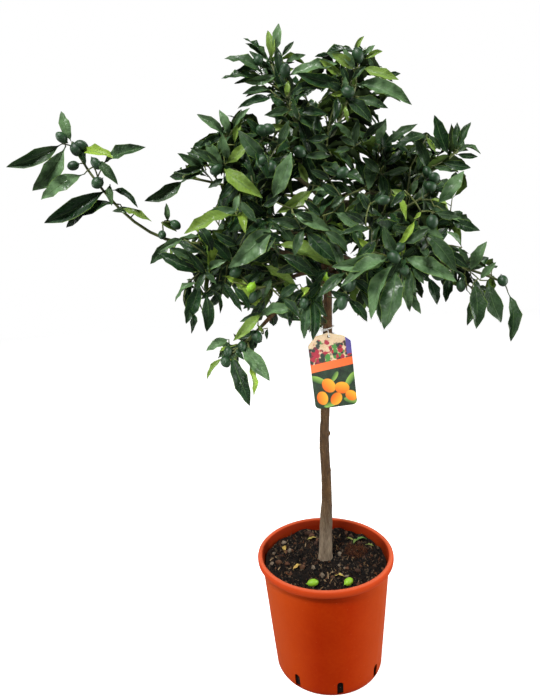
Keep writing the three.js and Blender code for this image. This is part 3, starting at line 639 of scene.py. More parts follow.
def trunk_at(z):
    """The middle and radius of the stem at a height: a smooth line through the row of places."""
    final = len(TRUNK_LINE) - 1
    k = max(0, min(final - 1, sum(1 for row in TRUNK_LINE if row[1] <= z) - 1))
    before, low, high, after = (TRUNK_LINE[max(0, min(final, n))] for n in (k - 1, k, k + 1, k + 2))
    span = high[1] - low[1]
    t = (z - low[1]) / span
    slopes = [(end[0] - start[0]) / (end[1] - start[1]) for start, end in ((before, high), (low, after))]
    x = ((2 * t**3 - 3 * t**2 + 1) * low[0] + (t**3 - 2 * t**2 + t) * slopes[0] * span
         + (3 * t**2 - 2 * t**3) * high[0] + (t**3 - t**2) * slopes[1] * span)
    return Vector((x, 0, z)), low[2] + (high[2] - low[2]) * min(1, max(0, t))


def bow(start, bend, end, share):
    return start * (1 - share) ** 2 + bend * 2 * share * (1 - share) + end * share**2


def bowed(start, end, push, steps, at=0.5):
    """A limb's line from its parent's middle to its tip, pushed off the straight by a share of its length."""
    bend = start.lerp(end, at) + push * (end - start).length
    return [bow(start, bend, end, k / steps) for k in range(steps + 1)]


def ring_about(centre, along, side, radius, sides):
    """Points round a line at one place, from a direction square to it."""
    other = along.cross(side)
    turns = (2 * math.pi * n / sides for n in range(sides))
    return [centre + (side * math.cos(turn) + other * math.sin(turn)) * radius for turn in turns]


def quads_between(rings, sides, closed=False):
    """The faces between each ring of points and the next, and back to the first if the line is closed."""
    faces = []
    for k in range(rings if closed else rings - 1):
        low, high = k * sides, (k + 1) % rings * sides
        faces += [(low + n, low + (n + 1) % sides, high + (n + 1) % sides, high + n) for n in range(sides)]
    return faces


def tube(line, radii, sides):
    """Points and faces of a round bar along a line of points, closed at both ends."""
    points, side = [], None
    for k, centre in enumerate(line):
        along = (line[min(k + 1, len(line) - 1)] - line[max(k - 1, 0)]).normalized()
        side = side or along.orthogonal().normalized()
        side = (side - along * side.dot(along)).normalized()
        points += ring_about(centre, along, side, radii[k], sides)
    ends = [tuple(range(sides - 1, -1, -1)), tuple(range(len(points) - sides, len(points)))]
    return points, quads_between(len(line), sides) + ends


def tapered(start, end, steps):
    """Radii that run evenly from one to another."""
    return [start + (end - start) * k / steps for k in range(steps + 1)]


TRUNK_FOOT, TRUNK_TOP, FORK = TRUNK_LINE[0][1], TRUNK_LINE[-1][1], 796
trunk_heights = [219.5, 222, 225, 229, 234, 240, 250] + list(np.linspace(265, TRUNK_TOP, 44)) + [806, 811]
trunk_line = [trunk_at(min(z, TRUNK_TOP))[0] + UP * max(0, z - TRUNK_TOP) for z in trunk_heights]
trunk_radii = [trunk_at(min(max(z, TRUNK_FOOT), TRUNK_TOP))[1] for z in trunk_heights]
trunk_radii[-2:] = [6.0, 3.2]
fork = trunk_at(FORK)[0]
wood = [tube(trunk_line, trunk_radii, 24),
        tube(bowed(fork, LEADER_TIP, UP * 0, 10, BOUGH_BEND), tapered(LEADER_FOOT, LEADER_END, 10), 16)]
bough_ends = {}
for name, foot, bough, _, _ in CROWN:
    if foot < TRUNK_TOP:
        start = trunk_at(foot)[0]
    else:
        start = min((fork.lerp(LEADER_TIP, k / 200) for k in range(201)), key=lambda p: abs(p.z - foot))
    line = bowed(start, Vector(bough), UP * BOUGH_RISE, 12, BOUGH_BEND)
    wood.append(tube(line, tapered(BOUGH_FOOT, BOUGH_END, 12), 12))
    bough_ends[name] = (line[-1], (line[-1] - line[-2]).normalized())
KNOB_HEIGHT = 487  # a healed cut stands out on the stem's right here
knob = trunk_at(KNOB_HEIGHT)[0] + Vector((8.2, -2.5, 0))
wood.append(tube([knob + Vector((-4, 0, -4)), knob, knob + Vector((2.6, -0.6, 3.6))], [4.2, 4.4, 2.2], 12))
SCARS = [(330, 2.2, 2.0), (411, -0.7, 2.4), (568, 3.6, 2.2), (640, 0.9, 1.8), (738, 2.5, 2.4)]
for height, turned_by, reach in SCARS:  # where shoots were rubbed off: height, turn round the stem, reach
    middle, radius = trunk_at(height)
    out = Vector((math.cos(turned_by), math.sin(turned_by), 0.25))
    places = [middle + out * (radius + off) for off in (-4, reach - 1.2, reach)]
    wood.append(tube(places, [4.5, 3.2, 1.6], 10))

bark, tree, shader = finish_named("bark", Roughness=0.85, Specular_IOR_Level=0.3)
place = object_place(tree)
along_stem = put(tree, "ShaderNodeMapping", {"Vector": place, "Scale": (1, 1, 0.22)}).outputs[0]
brown = mottled(tree, along_stem, 70.0, 430.0, 0.55, paint(40, 26, 13), paint(95, 69, 40))
grey = mottled(tree, along_stem, 60.0, 380.0, 0.5, paint(68, 54, 42), paint(146, 130, 108))
height = axes_of(tree, place)["Z"]
aged = blend(tree, ranged(tree, height, 0.26, 0.36, 1.0, 0.0), brown["Color"], grey["Color"])
dotted = layered(
    tree, aged,
    (ranged(tree, height, 0.79, 0.88, 0.0, 0.8), (50, 52, 28)),  # green towards the crown
    (ranged(tree, dots(tree, place, 210.0)["Distance"], 0.06, 0.16, 0.55, 0.0), (170, 150, 122)))  # pores
lay_on(tree, shader, dotted, brown["Height"], 0.8, 0.0012)

stem = mesh_piece("bark_wood", *joined(wood, TO_METRES), bark)
SKIN_CELL, FURROWS, KNOBS = 0.0019, 0.00075, 0.0007  # the skin's grid and its relief's depths, in metres
skin = stem.modifiers.new("one_skin", "REMESH")
skin.mode, skin.voxel_size = "VOXEL", SKIN_CELL
ease = stem.modifiers.new("ease", "SMOOTH")
ease.factor, ease.iterations = 0.5, 3
settle(stem)
skin_points = []
for vertex in stem.data.vertices:
    place = vertex.co
    middle = trunk_at(min(max(place.z * 1000, 222), TRUNK_TOP))[0].x / 1000
    turn = math.atan2(place.y, place.x - middle)
    thick = min(1, max(0.25, 1.3 - place.z))
    round_it = Vector((math.cos(turn) * 3.2, math.sin(turn) * 3.2, place.z * 34))
    relief = FURROWS * noise.fractal(round_it, 0.7, 2.2, 4) + KNOBS * noise.noise(place * 42)
    skin_points.extend(place + vertex.normal * relief * thick)
stem.data.vertices.foreach_set("co", skin_points)
stem.data.update()
stem.data.materials.clear()
stem.data.materials.append(bark)
smooth(stem)
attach(stem, "root")
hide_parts("trunk", "leader", *["bough_" + row[0] for row in CROWN])

# ---------------------------------------------------------------- twigs
# The green wood of this year and last: each bough ends in a stem with side shoots, and the shoots carry
# finer spurs. They grow by the same rule and the same seeds as the solid crown, then a step further.
STEM_FOOT, STEM_END, SHOOT_FOOT, SHOOT_END, SPUR_FOOT, SPUR_END = 3.1, 1.9, 1.7, 1.1, 1.2, 0.8
SHOOT_SEED, SPUR_SEED = 7919, 104729
SHOOT_OPEN, SHOOT_CLOSE = 72, 28  # degrees off the stem at its foot, and how many fewer at its end


def random_from(seed):
    """A seeded random number from 0 to 1, the same on every run."""
    state = seed & 0xFFFFFFFF

    def draw():
        nonlocal state
        state = (state + 0x6D2B79F5) & 0xFFFFFFFF
        mixed = ((state ^ (state >> 15)) * (state | 1)) & 0xFFFFFFFF
        mixed ^= (mixed + (((mixed ^ (mixed >> 7)) * (mixed | 61)) & 0xFFFFFFFF)) & 0xFFFFFFFF
        return (mixed ^ (mixed >> 14)) / 4294967296

    return draw


def sideways(along, turn):
    reference = Vector((1, 0, 0)) if abs(along.z) > 0.9 else UP
    return Quaternion(along, turn) @ along.cross(reference).normalized()


def place_on(line, share):
    steps = len(line) - 1
    step = min(steps - 1, int(share * steps))
    return line[step].lerp(line[step + 1], share * steps - step), (line[step + 1] - line[step]).normalized()


masses = {}
twigs_grown = []  # every twig's line, its radii and sides, and the share of its parent that it leaves at
for index, (name, foot, bough, tip, more) in enumerate(CROWN):
    row = {**USUAL, **more, "name": name, "seed": index + 11, "bough": Vector(bough), "tip": Vector(tip)}
    random = random_from(row["seed"] * SHOOT_SEED)
    bough_end, heading = bough_ends[name]
    start, tip = bough_end + heading * 0.3, Vector(tip)
    main = bowed(start, tip, heading * BOUGH_BEND, 8, 0)  # straight on from the bough, then over to its tip
    coarse = [main[0], main[4], main[8]]
    shoots = [main]
    twigs_grown.append((main, STEM_FOOT, STEM_END, 7, None, 0))
    for i in range(row["shoots"]):
        share = 0.14 + 0.76 * (i + 0.5) / row["shoots"]
        root, along = place_on(coarse, share)
        open_by = math.radians(SHOOT_OPEN - SHOOT_CLOSE * share)
        side = sideways(along, row["seed"] + i * GOLDEN_ANGLE)
        heading = along * math.cos(open_by) + side * math.sin(open_by) + UP * (0.35 - 0.8 * row["hang"])
        end = root + heading.normalized() * row["spread"] * (0.85 + 0.35 * random())
        root = place_on(main, share)[0]
        shoots.append(bowed(root, end, UP * (0.06 - 0.1 * row["hang"]), 4))
        twigs_grown.append((shoots[-1], SHOOT_FOOT, SHOOT_END, 6, main, share))
    spurs = []
    extra = random_from(row["seed"] * SPUR_SEED)
    for i, shoot in enumerate(shoots):
        count = 4 if i == 0 else 2  # the stem carries more spurs than a side shoot
        for j in range(count):
            share = 0.22 + 0.7 * (j + 0.3 + 0.4 * extra()) / count
            root, along = place_on(shoot, min(0.95, share))
            side = sideways(along, row["seed"] + 2.4 * j + 1.7 * i)
            heading = along * 0.62 + side * 0.78 + UP * (0.3 - 0.7 * row["hang"])
            end = root + heading.normalized() * row["spread"] * (0.42 + 0.3 * extra())
            spurs.append(bowed(root, end, UP * 0.05, 3))
            twigs_grown.append((spurs[-1], SPUR_FOOT, SPUR_END, 5, shoot, min(0.95, share)))
    row.update(shoots_grown=shoots, spurs=spurs, random=random, extra=extra)
    masses[name] = row

green_wood, tree, shader = finish_named("green_wood", Roughness=0.55)
rind = mottled(tree, object_place(tree), 55.0, 500.0, 0.4, paint(46, 54, 24), paint(104, 114, 50))
lay_on(tree, shader, rind["Color"], rind["Height"], 0.4, 0.0005)

carried = {}  # how far along each twig something stands on it


def carry(line, share):
    carried[id(line)] = max(share, carried.get(id(line), 0))


def twig_meshes():
    """Tubes of the twigs, finest first, each only as long as what it carries needs."""
    shapes = []
    for line, foot, end, sides, parent, leaves_at in reversed(twigs_grown):
        if id(line) not in carried:
            continue
        if parent is not None:
            carry(parent, leaves_at)
        reach, steps = min(1.0, carried[id(line)] + 0.03), len(line) - 1
        points = [place_on(line, reach * k / steps)[0] for k in range(steps + 1)]
        if parent is None:
            points.insert(0, points[0] - (points[1] - points[0]).normalized() * 5)
        shapes.append(tube(points, tapered(foot, end, len(points) - 1), sides))
    return shapes


# ---------------------------------------------------------------- leaves
# Leathery lance-shaped blades on short stalks, dark and glossy above, pale and dull below, folded along
# the rib and bent back. They grow in a spiral round each shoot; a few shapes of blade serve them all.
BLADE_STATIONS = [(0.0, 0.011), (0.05, 0.010), (0.10, 0.019), (0.19, 0.076), (0.32, 0.132), (0.47, 0.158),
                  (0.62, 0.148), (0.76, 0.112), (0.88, 0.064), (0.96, 0.024)]
ACROSS = (-1.0, -0.52, 0.0, 0.52, 1.0)
BLADES = [  # fold, arch, twist, wave, waves along, bend to the side, width
    (0.46, 0.080, 0.24, 0.26, 2.0, 0.030, 1.00), (0.74, 0.135, -0.45, 0.28, 2.6, -0.045, 0.94),
    (0.34, 0.160, 0.55, 0.34, 2.2, 0.055, 1.03), (0.62, 0.060, -0.30, 0.26, 3.1, -0.030, 0.98),
    (0.90, 0.110, 0.40, 0.22, 1.7, -0.060, 0.92), (0.42, 0.190, -0.60, 0.40, 2.4, 0.045, 1.06),
    (0.54, 0.120, 0.75, 0.32, 2.9, -0.040, 1.00), (0.70, 0.030, 0.35, 0.28, 2.0, 0.055, 0.96),
    (0.32, 0.145, -0.40, 0.42, 3.4, -0.050, 1.02), (0.82, 0.170, 0.20, 0.24, 2.3, 0.040, 0.93),
]


def blade(fold, arch, twist, wave, waves, sway, width):
    """One blade of unit length from its root at 0 to its tip at Y = 1, face towards Z, closed all round."""
    points, faces, cells = [], [], []
    for sheet in (1, -1):
        for t, half in BLADE_STATIONS:
            half *= width
            for s in ACROSS:  # the margins wave in and out as well as up and down
                if sheet < 0 and abs(s) == 1:
                    continue
                thick = 0.010 if t < 0.1 else 0.0045 - 0.0025 * t
                x = s * half * (1 + 0.09 * math.sin(2 * math.pi * waves * 1.3 * t + 2.1 * s + 9 * sway))
                z = fold * abs(s) * half + wave * math.sin(2 * math.pi * waves * t + 0.8 * s) * s * s * half
                z -= (1 - s * s) * thick * (1 - sheet)
                angle = twist * (t - 0.3)
                x, z = x * math.cos(angle) - z * math.sin(angle), x * math.sin(angle) + z * math.cos(angle)
                x += sway * (math.sin(math.pi * t) - 1.6 * t**3 * (1 - t))
                points.append(Vector((x, t, z + arch * math.sin(math.pi * t**0.85))))
    tip = len(points)
    points.append(Vector((0, 1, 0)))
    stations, wide = len(BLADE_STATIONS), len(ACROSS)

    def at(sheet, k, n):
        if sheet > 0 or n in (0, wide - 1):
            return k * wide + n
        return stations * wide + k * (wide - 2) + n - 1

    def cell(sheet, t, s):
        return (s if sheet > 0 else 1 + s) / 2 * 0.998 + 0.001, t

    def corner(sheet, k, n):
        """A point of one sheet by station and step across, with its place in the leaf's picture."""
        if k == stations:
            return tip, cell(sheet, 1.0, 0.5)
        return at(sheet, k, n), cell(sheet, BLADE_STATIONS[k][0], ACROSS[n] * 0.5 + 0.5)

    for sheet in (1, -1):
        for k in range(stations):
            for n in range(wide - 1):  # both sheets are split along one diagonal, so that they never cross
                halves = [[(k, n), (k, n + 1), (k + 1, n + 1)]]
                if k + 1 < stations:
                    halves.append([(k, n), (k + 1, n + 1), (k + 1, n)])
                for half_face in halves:
                    corners = [corner(sheet, *step) for step in half_face[::sheet]]
                    faces.append(tuple(index for index, _ in corners))
                    cells += [place for _, place in corners]
    foot = [at(1, 0, n) for n in range(wide - 1, -1, -1)] + [at(-1, 0, n) for n in range(1, wide - 1)]
    faces.append(tuple(foot))
    cells += [(0.25, 0.0)] * len(foot)
    return points, faces, cells


def blade_shelf():
    """The blades on a shelf, each with its picture's layout and a crease along its margins."""
    shapes = [blade(*values) for values in BLADES]
    shelf = shape_shelf("blade", [shape[:2] for shape in shapes])
    rim = {k * len(ACROSS) + edge for k in range(len(BLADE_STATIONS)) for edge in (0, len(ACROSS) - 1)}
    rim.add(len(shapes[0][0]) - 1)
    for thing, (_, _, cells) in zip(shelf.objects, shapes):
        mesh = thing.data
        mesh.uv_layers.new(name="leaf_uv").data.foreach_set("uv", [v for cell in cells for v in cell])
        smooth(thing)
        sharp = [set(edge.vertices) <= rim for edge in mesh.edges]
        mesh.attributes.new("sharp_edge", "BOOLEAN", "EDGE").data.foreach_set("value", sharp)
    return shelf


DOME_MIDDLE, DOME_REACH, FACING = Vector((20, 0, 880)), Vector((312, 290, 325)), Vector((1, 2.5, 1))
VIEW_POINT = Vector((-87.3, -987.3, 845.0))  # where the plant is looked at from, in millimetres
# The crown's edge without its outer blades, and the gaps that the sky shows through with their radii:
# across and up in millimetres, on the upright plane through the stem, as they lie from the view point.
CROWN_EDGE = [
    (-53, 1200), (-52, 1174), (-24, 1156), (57, 1161), (86, 1178), (114, 1156), (106, 1149), (141, 1119),
    (161, 1088), (101, 1065), (131, 1052), (157, 1025), (143, 1011), (204, 1022), (232, 996), (239, 1002),
    (223, 1031), (256, 1038), (273, 1020), (286, 990), (267, 974), (278, 964), (262, 927), (234, 898),
    (290, 862), (252, 845), (285, 816), (307, 833), (319, 820), (327, 787), (310, 770), (356, 753),
    (370, 701), (360, 671), (320, 720), (289, 681), (279, 737), (259, 753), (229, 738), (200, 743),
    (189, 709), (156, 729), (124, 687), (106, 704), (80, 700), (42, 732), (30, 692), (-17, 674), (-36, 711),
    (-66, 714), (-80, 687), (-111, 668), (-98, 625), (-125, 614), (-124, 580), (-146, 560), (-168, 624),
    (-204, 666), (-128, 723), (-176, 768), (-182, 737), (-206, 713), (-233, 720), (-243, 770), (-222, 791),
    (-277, 835), (-309, 846), (-251, 902), (-228, 887), (-160, 918), (-154, 967), (-183, 977), (-230, 962),
    (-247, 975), (-217, 1015), (-161, 1045), (-147, 1073), (-117, 1074), (-100, 1111), (-129, 1132),
    (-91, 1159), (-94, 1175), (-66, 1183)]
SKY = [(-90, 1072, 14), (10, 1086, 12), (243, 835, 12), (236, 947, 11), (-71, 759, 11), (-17, 1123, 10),
       (-173, 886, 10), (-141, 626, 11), (293, 771, 10), (-70, 1056, 9), (22, 1113, 9), (25, 1080, 9),
       (-223, 876, 9), (220, 759, 9), (-160, 890, 8), (30, 1051, 7), (-5, 1119, 7), (-5, 1088, 7),
       (-77, 1083, 7), (105, 959, 7), (56, 908, 7), (206, 783, 7), (-99, 703, 7), (-138, 591, 8)]
SKY_MARGIN = 3
STEM_LEFT, STEM_RIGHT, STEM_BACK, STEM_SHOWS = 8, 36, 12, 765  # no blade hangs before the stem under this
BLADE_COVER, BEFORE = 15, 5  # how near a blade may show to one of the front blades, and how far before it
# The outer blades of the front half, spray by spray: tip across and up, root across and up, the width that
# shows, and the tone, which sets the painted sheen and painted underside light: d dark, m middle, g grey with
# painted sheen, l lime, p pale and young.
FRONT_BLADES = {
    "arm": [
        (-528, 1005, -426, 1038, 24, "m"), (-488, 963, -420, 1034, 31, "g"),
        (-421, 1091, -409, 1039, 22, "g"), (-475, 947, -394, 986, 22, "g"), (-475, 907, -355, 959, 29, "d"),
        (-437, 897, -337, 932, 16, "d"), (-332, 1008, -397, 1023, 15, "p"),
        (-282, 1025, -361, 1000, 13, "m"), (-337, 965, -367, 1008, 18, "m"),
        (-306, 924, -349, 957, 13, "d"), (-352, 921, -310, 917, 9, "g"), (-284, 899, -334, 924, 11, "l"),
        (-352, 930, -351, 967, 18, "g"), (-389, 1001, -405, 1038, 16, "d"),
    ],
    "left": [
        (-294, 935, -221, 967, 24, "m"), (-229, 1012, -183, 987, 15, "m"), (-236, 981, -184, 988, 13, "m"),
        (-228, 962, -181, 982, 11, "m"), (-206, 1020, -153, 983, 15, "m"),
        (-190, 1074, -142, 1036, 15, "g"), (-151, 1079, -137, 1036, 18, "g"),
        (-98, 1079, -131, 1045, 9, "g"), (-189, 1022, -149, 1036, 13, "d"),
        (-179, 1035, -150, 983, 26, "g"), (-149, 1041, -140, 993, 16, "g"),
        (-105, 1024, -146, 990, 16, "l"), (-111, 1064, -128, 1020, 9, "l"),
        (-106, 1063, -75, 1031, 15, "d"), (-121, 1045, -72, 986, 24, "m"), (-85, 929, -150, 983, 26, "l"),
        (-162, 930, -127, 962, 26, "d"), (-180, 951, -151, 967, 11, "m"), (-137, 906, -125, 938, 13, "g"),
        (-98, 887, -124, 928, 15, "m"), (-256, 930, -255, 897, 24, "g"), (-294, 825, -255, 866, 22, "m"),
        (-278, 847, -230, 866, 13, "g"), (-280, 844, -202, 806, 24, "d"), (-259, 854, -202, 813, 18, "m"),
        (-212, 888, -196, 795, 11, "p"), (-206, 894, -182, 833, 22, "d"), (-229, 875, -131, 901, 16, "l"),
        (-239, 713, -207, 788, 24, "d"), (-202, 696, -198, 769, 24, "d"), (-256, 754, -207, 786, 9, "g"),
        (-231, 694, -234, 746, 7, "d"), (-175, 728, -190, 776, 7, "d"), (-208, 757, -164, 784, 15, "m"),
        (-156, 825, -195, 809, 15, "g"), (-155, 810, -71, 880, 37, "g"), (-136, 820, -61, 872, 26, "m"),
        (-115, 743, -167, 797, 13, "p"), (-135, 729, -167, 789, 15, "d"), (-120, 732, -150, 778, 15, "d"),
        (-190, 869, -147, 817, 26, "d"), (-175, 875, -131, 848, 18, "d"), (-228, 846, -195, 802, 15, "d"),
        (-216, 774, -195, 805, 15, "m"), (-178, 783, -195, 809, 15, "m"),
    ],
    "top_left": [
        (-42, 1209, -52, 1162, 18, "g"), (-61, 1199, -58, 1150, 18, "l"), (-103, 1189, -63, 1153, 9, "m"),
        (-100, 1181, -58, 1147, 11, "g"), (-94, 1169, -71, 1141, 9, "m"), (-137, 1159, -73, 1132, 15, "m"),
        (-123, 1136, -78, 1132, 7, "d"), (-144, 1128, -82, 1126, 11, "m"), (-107, 1121, -49, 1127, 15, "g"),
        (-123, 1119, -48, 1115, 9, "m"), (-110, 1102, -62, 1106, 11, "m"), (-120, 1079, -58, 1093, 13, "d"),
        (-75, 1066, -30, 1072, 13, "m"), (-68, 1064, -27, 1049, 7, "d"), (-18, 1180, -41, 1155, 9, "m"),
        (1, 1158, -36, 1146, 9, "m"), (58, 1141, -34, 1125, 16, "g"), (-17, 1130, 61, 1109, 20, "d"),
        (18, 1140, 61, 1115, 7, "d"), (-20, 1138, -41, 1130, 11, "l"), (-31, 1120, -37, 1092, 18, "l"),
        (-47, 1173, -46, 1127, 16, "d"), (18, 1118, -32, 1092, 11, "d"), (20, 1106, -26, 1085, 9, "d"),
        (35, 1061, -20, 1072, 13, "d"), (3, 1085, -13, 1062, 5, "d"), (-26, 1086, -17, 1055, 13, "m"),
        (15, 1065, 16, 1021, 22, "d"), (-32, 1056, -55, 1015, 24, "m"), (-41, 1047, -80, 1039, 15, "l"),
        (-63, 1096, -37, 1069, 11, "d"),
    ],
    "top_right": [
        (100, 1182, 84, 1158, 15, "l"), (35, 1159, 75, 1146, 13, "g"), (45, 1158, 82, 1130, 15, "l"),
        (64, 1165, 85, 1133, 24, "g"), (118, 1167, 96, 1154, 9, "g"), (131, 1157, 99, 1145, 9, "l"),
        (23, 1149, 63, 1122, 11, "l"), (158, 1110, 95, 1132, 13, "l"), (161, 1120, 136, 1121, 9, "d"),
        (106, 1148, 116, 1131, 9, "m"), (180, 1069, 85, 1108, 22, "g"), (139, 1066, 77, 1083, 13, "m"),
        (161, 1075, 101, 1085, 7, "g"), (60, 1141, 74, 1108, 16, "d"), (66, 1121, 65, 1090, 15, "g"),
        (18, 1103, 59, 1100, 7, "m"), (34, 1114, 62, 1093, 11, "d"), (40, 1093, 64, 1096, 11, "l"),
        (72, 1084, 79, 1105, 18, "m"), (111, 1044, 64, 1090, 26, "d"), (45, 1049, 53, 1090, 18, "d"),
        (69, 1047, 65, 1075, 7, "l"), (119, 1112, 84, 1105, 11, "m"), (102, 1135, 78, 1114, 11, "m"),
        (190, 1038, 127, 1003, 15, "m"), (135, 1050, 113, 1009, 24, "g"), (135, 1046, 91, 1014, 11, "m"),
        (87, 1051, 80, 1006, 16, "m"), (43, 1049, 82, 1011, 9, "g"), (218, 1051, 244, 982, 24, "d"),
        (258, 1037, 255, 992, 15, "m"), (145, 997, 207, 1017, 15, "m"), (185, 1017, 206, 961, 18, "m"),
        (230, 993, 206, 1019, 11, "m"), (221, 990, 204, 1017, 7, "l"), (282, 1036, 258, 991, 16, "m"),
        (300, 982, 260, 995, 7, "g"), (279, 1000, 260, 988, 15, "m"), (295, 978, 256, 985, 11, "d"),
        (283, 960, 232, 973, 16, "d"), (258, 955, 214, 967, 9, "m"), (271, 956, 222, 899, 27, "g"),
        (37, 1026, -4, 1022, 15, "d"), (6, 1021, 36, 1000, 15, "m"), (55, 1022, 82, 1007, 11, "m"),
    ],
    "right": [
        (247, 887, 200, 910, 15, "m"), (286, 867, 236, 887, 13, "g"), (301, 851, 247, 875, 18, "d"),
        (236, 842, 189, 866, 15, "g"), (168, 874, 142, 924, 9, "p"), (181, 878, 195, 890, 7, "p"),
        (157, 832, 184, 876, 11, "p"), (170, 919, 142, 932, 16, "l"), (200, 888, 200, 949, 15, "m"),
        (179, 920, 190, 945, 16, "g"), (214, 918, 223, 943, 20, "g"), (129, 904, 123, 962, 18, "d"),
        (314, 832, 284, 779, 31, "g"), (331, 794, 302, 763, 20, "g"), (263, 826, 278, 792, 22, "g"),
        (240, 854, 269, 823, 5, "g"), (282, 786, 233, 821, 16, "d"), (260, 780, 197, 855, 22, "m"),
        (297, 673, 291, 760, 33, "m"), (343, 682, 317, 762, 31, "m"), (362, 645, 354, 738, 20, "m"),
        (240, 726, 247, 777, 24, "d"), (260, 762, 160, 813, 24, "g"), (244, 785, 167, 803, 11, "l"),
        (224, 722, 207, 776, 16, "d"), (194, 707, 174, 749, 22, "m"), (280, 680, 288, 735, 15, "m"),
        (174, 712, 160, 782, 15, "g"), (171, 727, 176, 792, 13, "m"), (200, 762, 178, 792, 11, "m"),
        (126, 681, 149, 790, 31, "m"), (102, 701, 149, 801, 20, "g"), (120, 694, 116, 741, 11, "m"),
        (211, 765, 171, 803, 15, "d"), (265, 879, 218, 888, 13, "m"), (176, 966, 130, 958, 13, "m"),
        (92, 989, 123, 958, 18, "m"), (165, 996, 130, 972, 16, "d"), (140, 900, 165, 929, 16, "d"),
        (211, 861, 161, 836, 16, "m"),
    ],
    "middle": [
        (-30, 1003, -69, 925, 27, "g"), (-20, 986, -2, 948, 20, "l"), (-63, 902, 4, 939, 20, "l"),
        (29, 936, 1, 936, 5, "g"), (-11, 996, 40, 993, 11, "m"), (43, 1000, 75, 1003, 9, "m"),
        (-74, 892, -20, 874, 24, "m"), (34, 867, -35, 899, 22, "g"), (-35, 825, -14, 872, 22, "m"),
        (32, 804, -69, 848, 16, "l"), (41, 810, -13, 870, 24, "d"), (63, 827, 18, 868, 16, "m"),
        (31, 802, 137, 814, 26, "g"), (48, 765, 135, 805, 18, "g"), (80, 851, 110, 824, 16, "p"),
        (46, 856, 107, 863, 9, "m"), (93, 860, 40, 898, 16, "g"), (127, 869, 148, 819, 20, "m"),
        (-27, 762, -93, 814, 16, "l"), (4, 787, -61, 830, 20, "d"), (-7, 668, -2, 744, 20, "d"),
        (-23, 672, -14, 745, 18, "m"), (-48, 696, -41, 731, 9, "d"), (-24, 729, -106, 716, 18, "g"),
        (-92, 675, -89, 697, 7, "d"), (95, 698, 57, 744, 22, "d"), (108, 741, 65, 780, 22, "d"),
        (97, 724, 83, 757, 7, "m"), (6, 749, 58, 791, 16, "m"), (32, 716, 48, 752, 11, "d"),
        (21, 711, -5, 748, 16, "d"), (-74, 959, -88, 1017, 18, "d"), (-51, 931, -87, 915, 15, "d"),
        (33, 905, 62, 924, 15, "m"), (74, 971, 47, 1003, 15, "m"), (17, 951, 52, 925, 16, "d"),
        (-27, 902, 7, 883, 16, "d"), (58, 897, 96, 871, 16, "d"), (108, 891, 87, 933, 18, "d"),
        (133, 931, 104, 908, 16, "d"), (-68, 798, -17, 813, 16, "d"), (-97, 749, -76, 788, 16, "m"),
        (-68, 748, -26, 774, 15, "d"), (-29, 712, -60, 751, 15, "d"), (28, 760, 68, 740, 15, "d"),
        (73, 808, 114, 845, 16, "d"), (-114, 819, -74, 838, 16, "d"), (-128, 776, -94, 803, 16, "d"),
        (-12, 922, 19, 892, 15, "d"), (0, 972, 35, 953, 15, "d"), (-90, 870, -51, 854, 15, "d"),
        (-48, 854, -16, 831, 16, "d"), (53, 959, 22, 977, 15, "d"),
    ],
    "low": [
        (-155, 676, -98, 725, 16, "l"), (-140, 711, -98, 727, 11, "m"), (-206, 660, -162, 680, 24, "g"),
        (-190, 680, -157, 669, 18, "g"), (-209, 605, -174, 647, 9, "l"), (-131, 549, -162, 652, 22, "d"),
        (-123, 567, -129, 639, 9, "p"), (-91, 596, -142, 672, 35, "g"), (-142, 681, -97, 688, 15, "d"),
        (-185, 646, -169, 660, 11, "g"), (-109, 705, -100, 686, 5, "l"), (-137, 639, -150, 663, 13, "d"),
        (-101, 671, -115, 687, 11, "m"),
    ],
}


def off_mass(point, row):
    """How far a point is from the line that a mass lies about."""
    run = row["tip"] - row["bough"]
    share = min(1, max(0, (point - row["bough"]).dot(run) / run.length_squared))
    return (row["bough"] + run * share - point).length


def own_space(own, point, slack=22):
    """A point belongs to the mass whose line is nearest; leaves may reach a little past the border."""
    away = off_mass(point, own)
    return all(row is own or away < off_mass(point, row) + slack for row in masses.values())


def inside_dome(point):
    away = point - DOME_MIDDLE
    return Vector((away.x / DOME_REACH.x, away.y / DOME_REACH.y, away.z / DOME_REACH.z)).length < 1


def at_depth(x, z, depth):
    """A place on the upright plane through the stem, moved along the line of sight to a depth."""
    return VIEW_POINT + (Vector((x, 0, z)) - VIEW_POINT) * (1 - depth / VIEW_POINT.y)


def on_plane(point):
    """Where a point shows on the upright plane through the stem."""
    place = VIEW_POINT + (point - VIEW_POINT) / (1 - point.y / VIEW_POINT.y)
    return place.x, place.z


def within_crown(point):
    """Whether a point lies inside the crown's edge and clear of the sky's gaps and of the stem."""
    x, z = on_plane(point)
    if any(math.hypot(x - across, z - up) < radius + SKY_MARGIN for across, up, radius in SKY):
        return False
    if z < STEM_SHOWS and STEM_LEFT < x < STEM_RIGHT and point.y < STEM_BACK:
        return False
    inside = False
    for (ax, az), (bx, bz) in zip(CROWN_EDGE, CROWN_EDGE[1:] + CROWN_EDGE[:1]):
        if (az > z) != (bz > z) and x < ax + (bx - ax) * (z - az) / (bz - az):
            inside = not inside
    return inside


front_spots = []


def hides_front(point):
    """Whether a blade there would stand before one of the front blades."""
    x, z = on_plane(point)
    return any(abs(x - across) < BLADE_COVER and abs(z - up) < BLADE_COVER and point.y < depth + BEFORE
               for across, up, depth in front_spots)


class Joint:
    """A blade's root, tip, tone and youth, the way its shoot runs there, and its face if that is known."""

    def __init__(self, mass, root, along, tip, tone, young=0.0, face=None, broad=0.9):
        self.mass, self.root, self.along, self.tip = mass, root, along, tip
        self.tone, self.young, self.face, self.broad = tone, young, face, broad


joints, taken, fine_twigs = [], {}, []
CELL, TOUCHING, ALONGSIDE = 24, 11, 24  # the search grid, and how near two blades may come, in millimetres
ALIKE = 0.7  # the cosine from which on two blades run the same way


def cell_of(point):
    return tuple(int(v // CELL) for v in point)


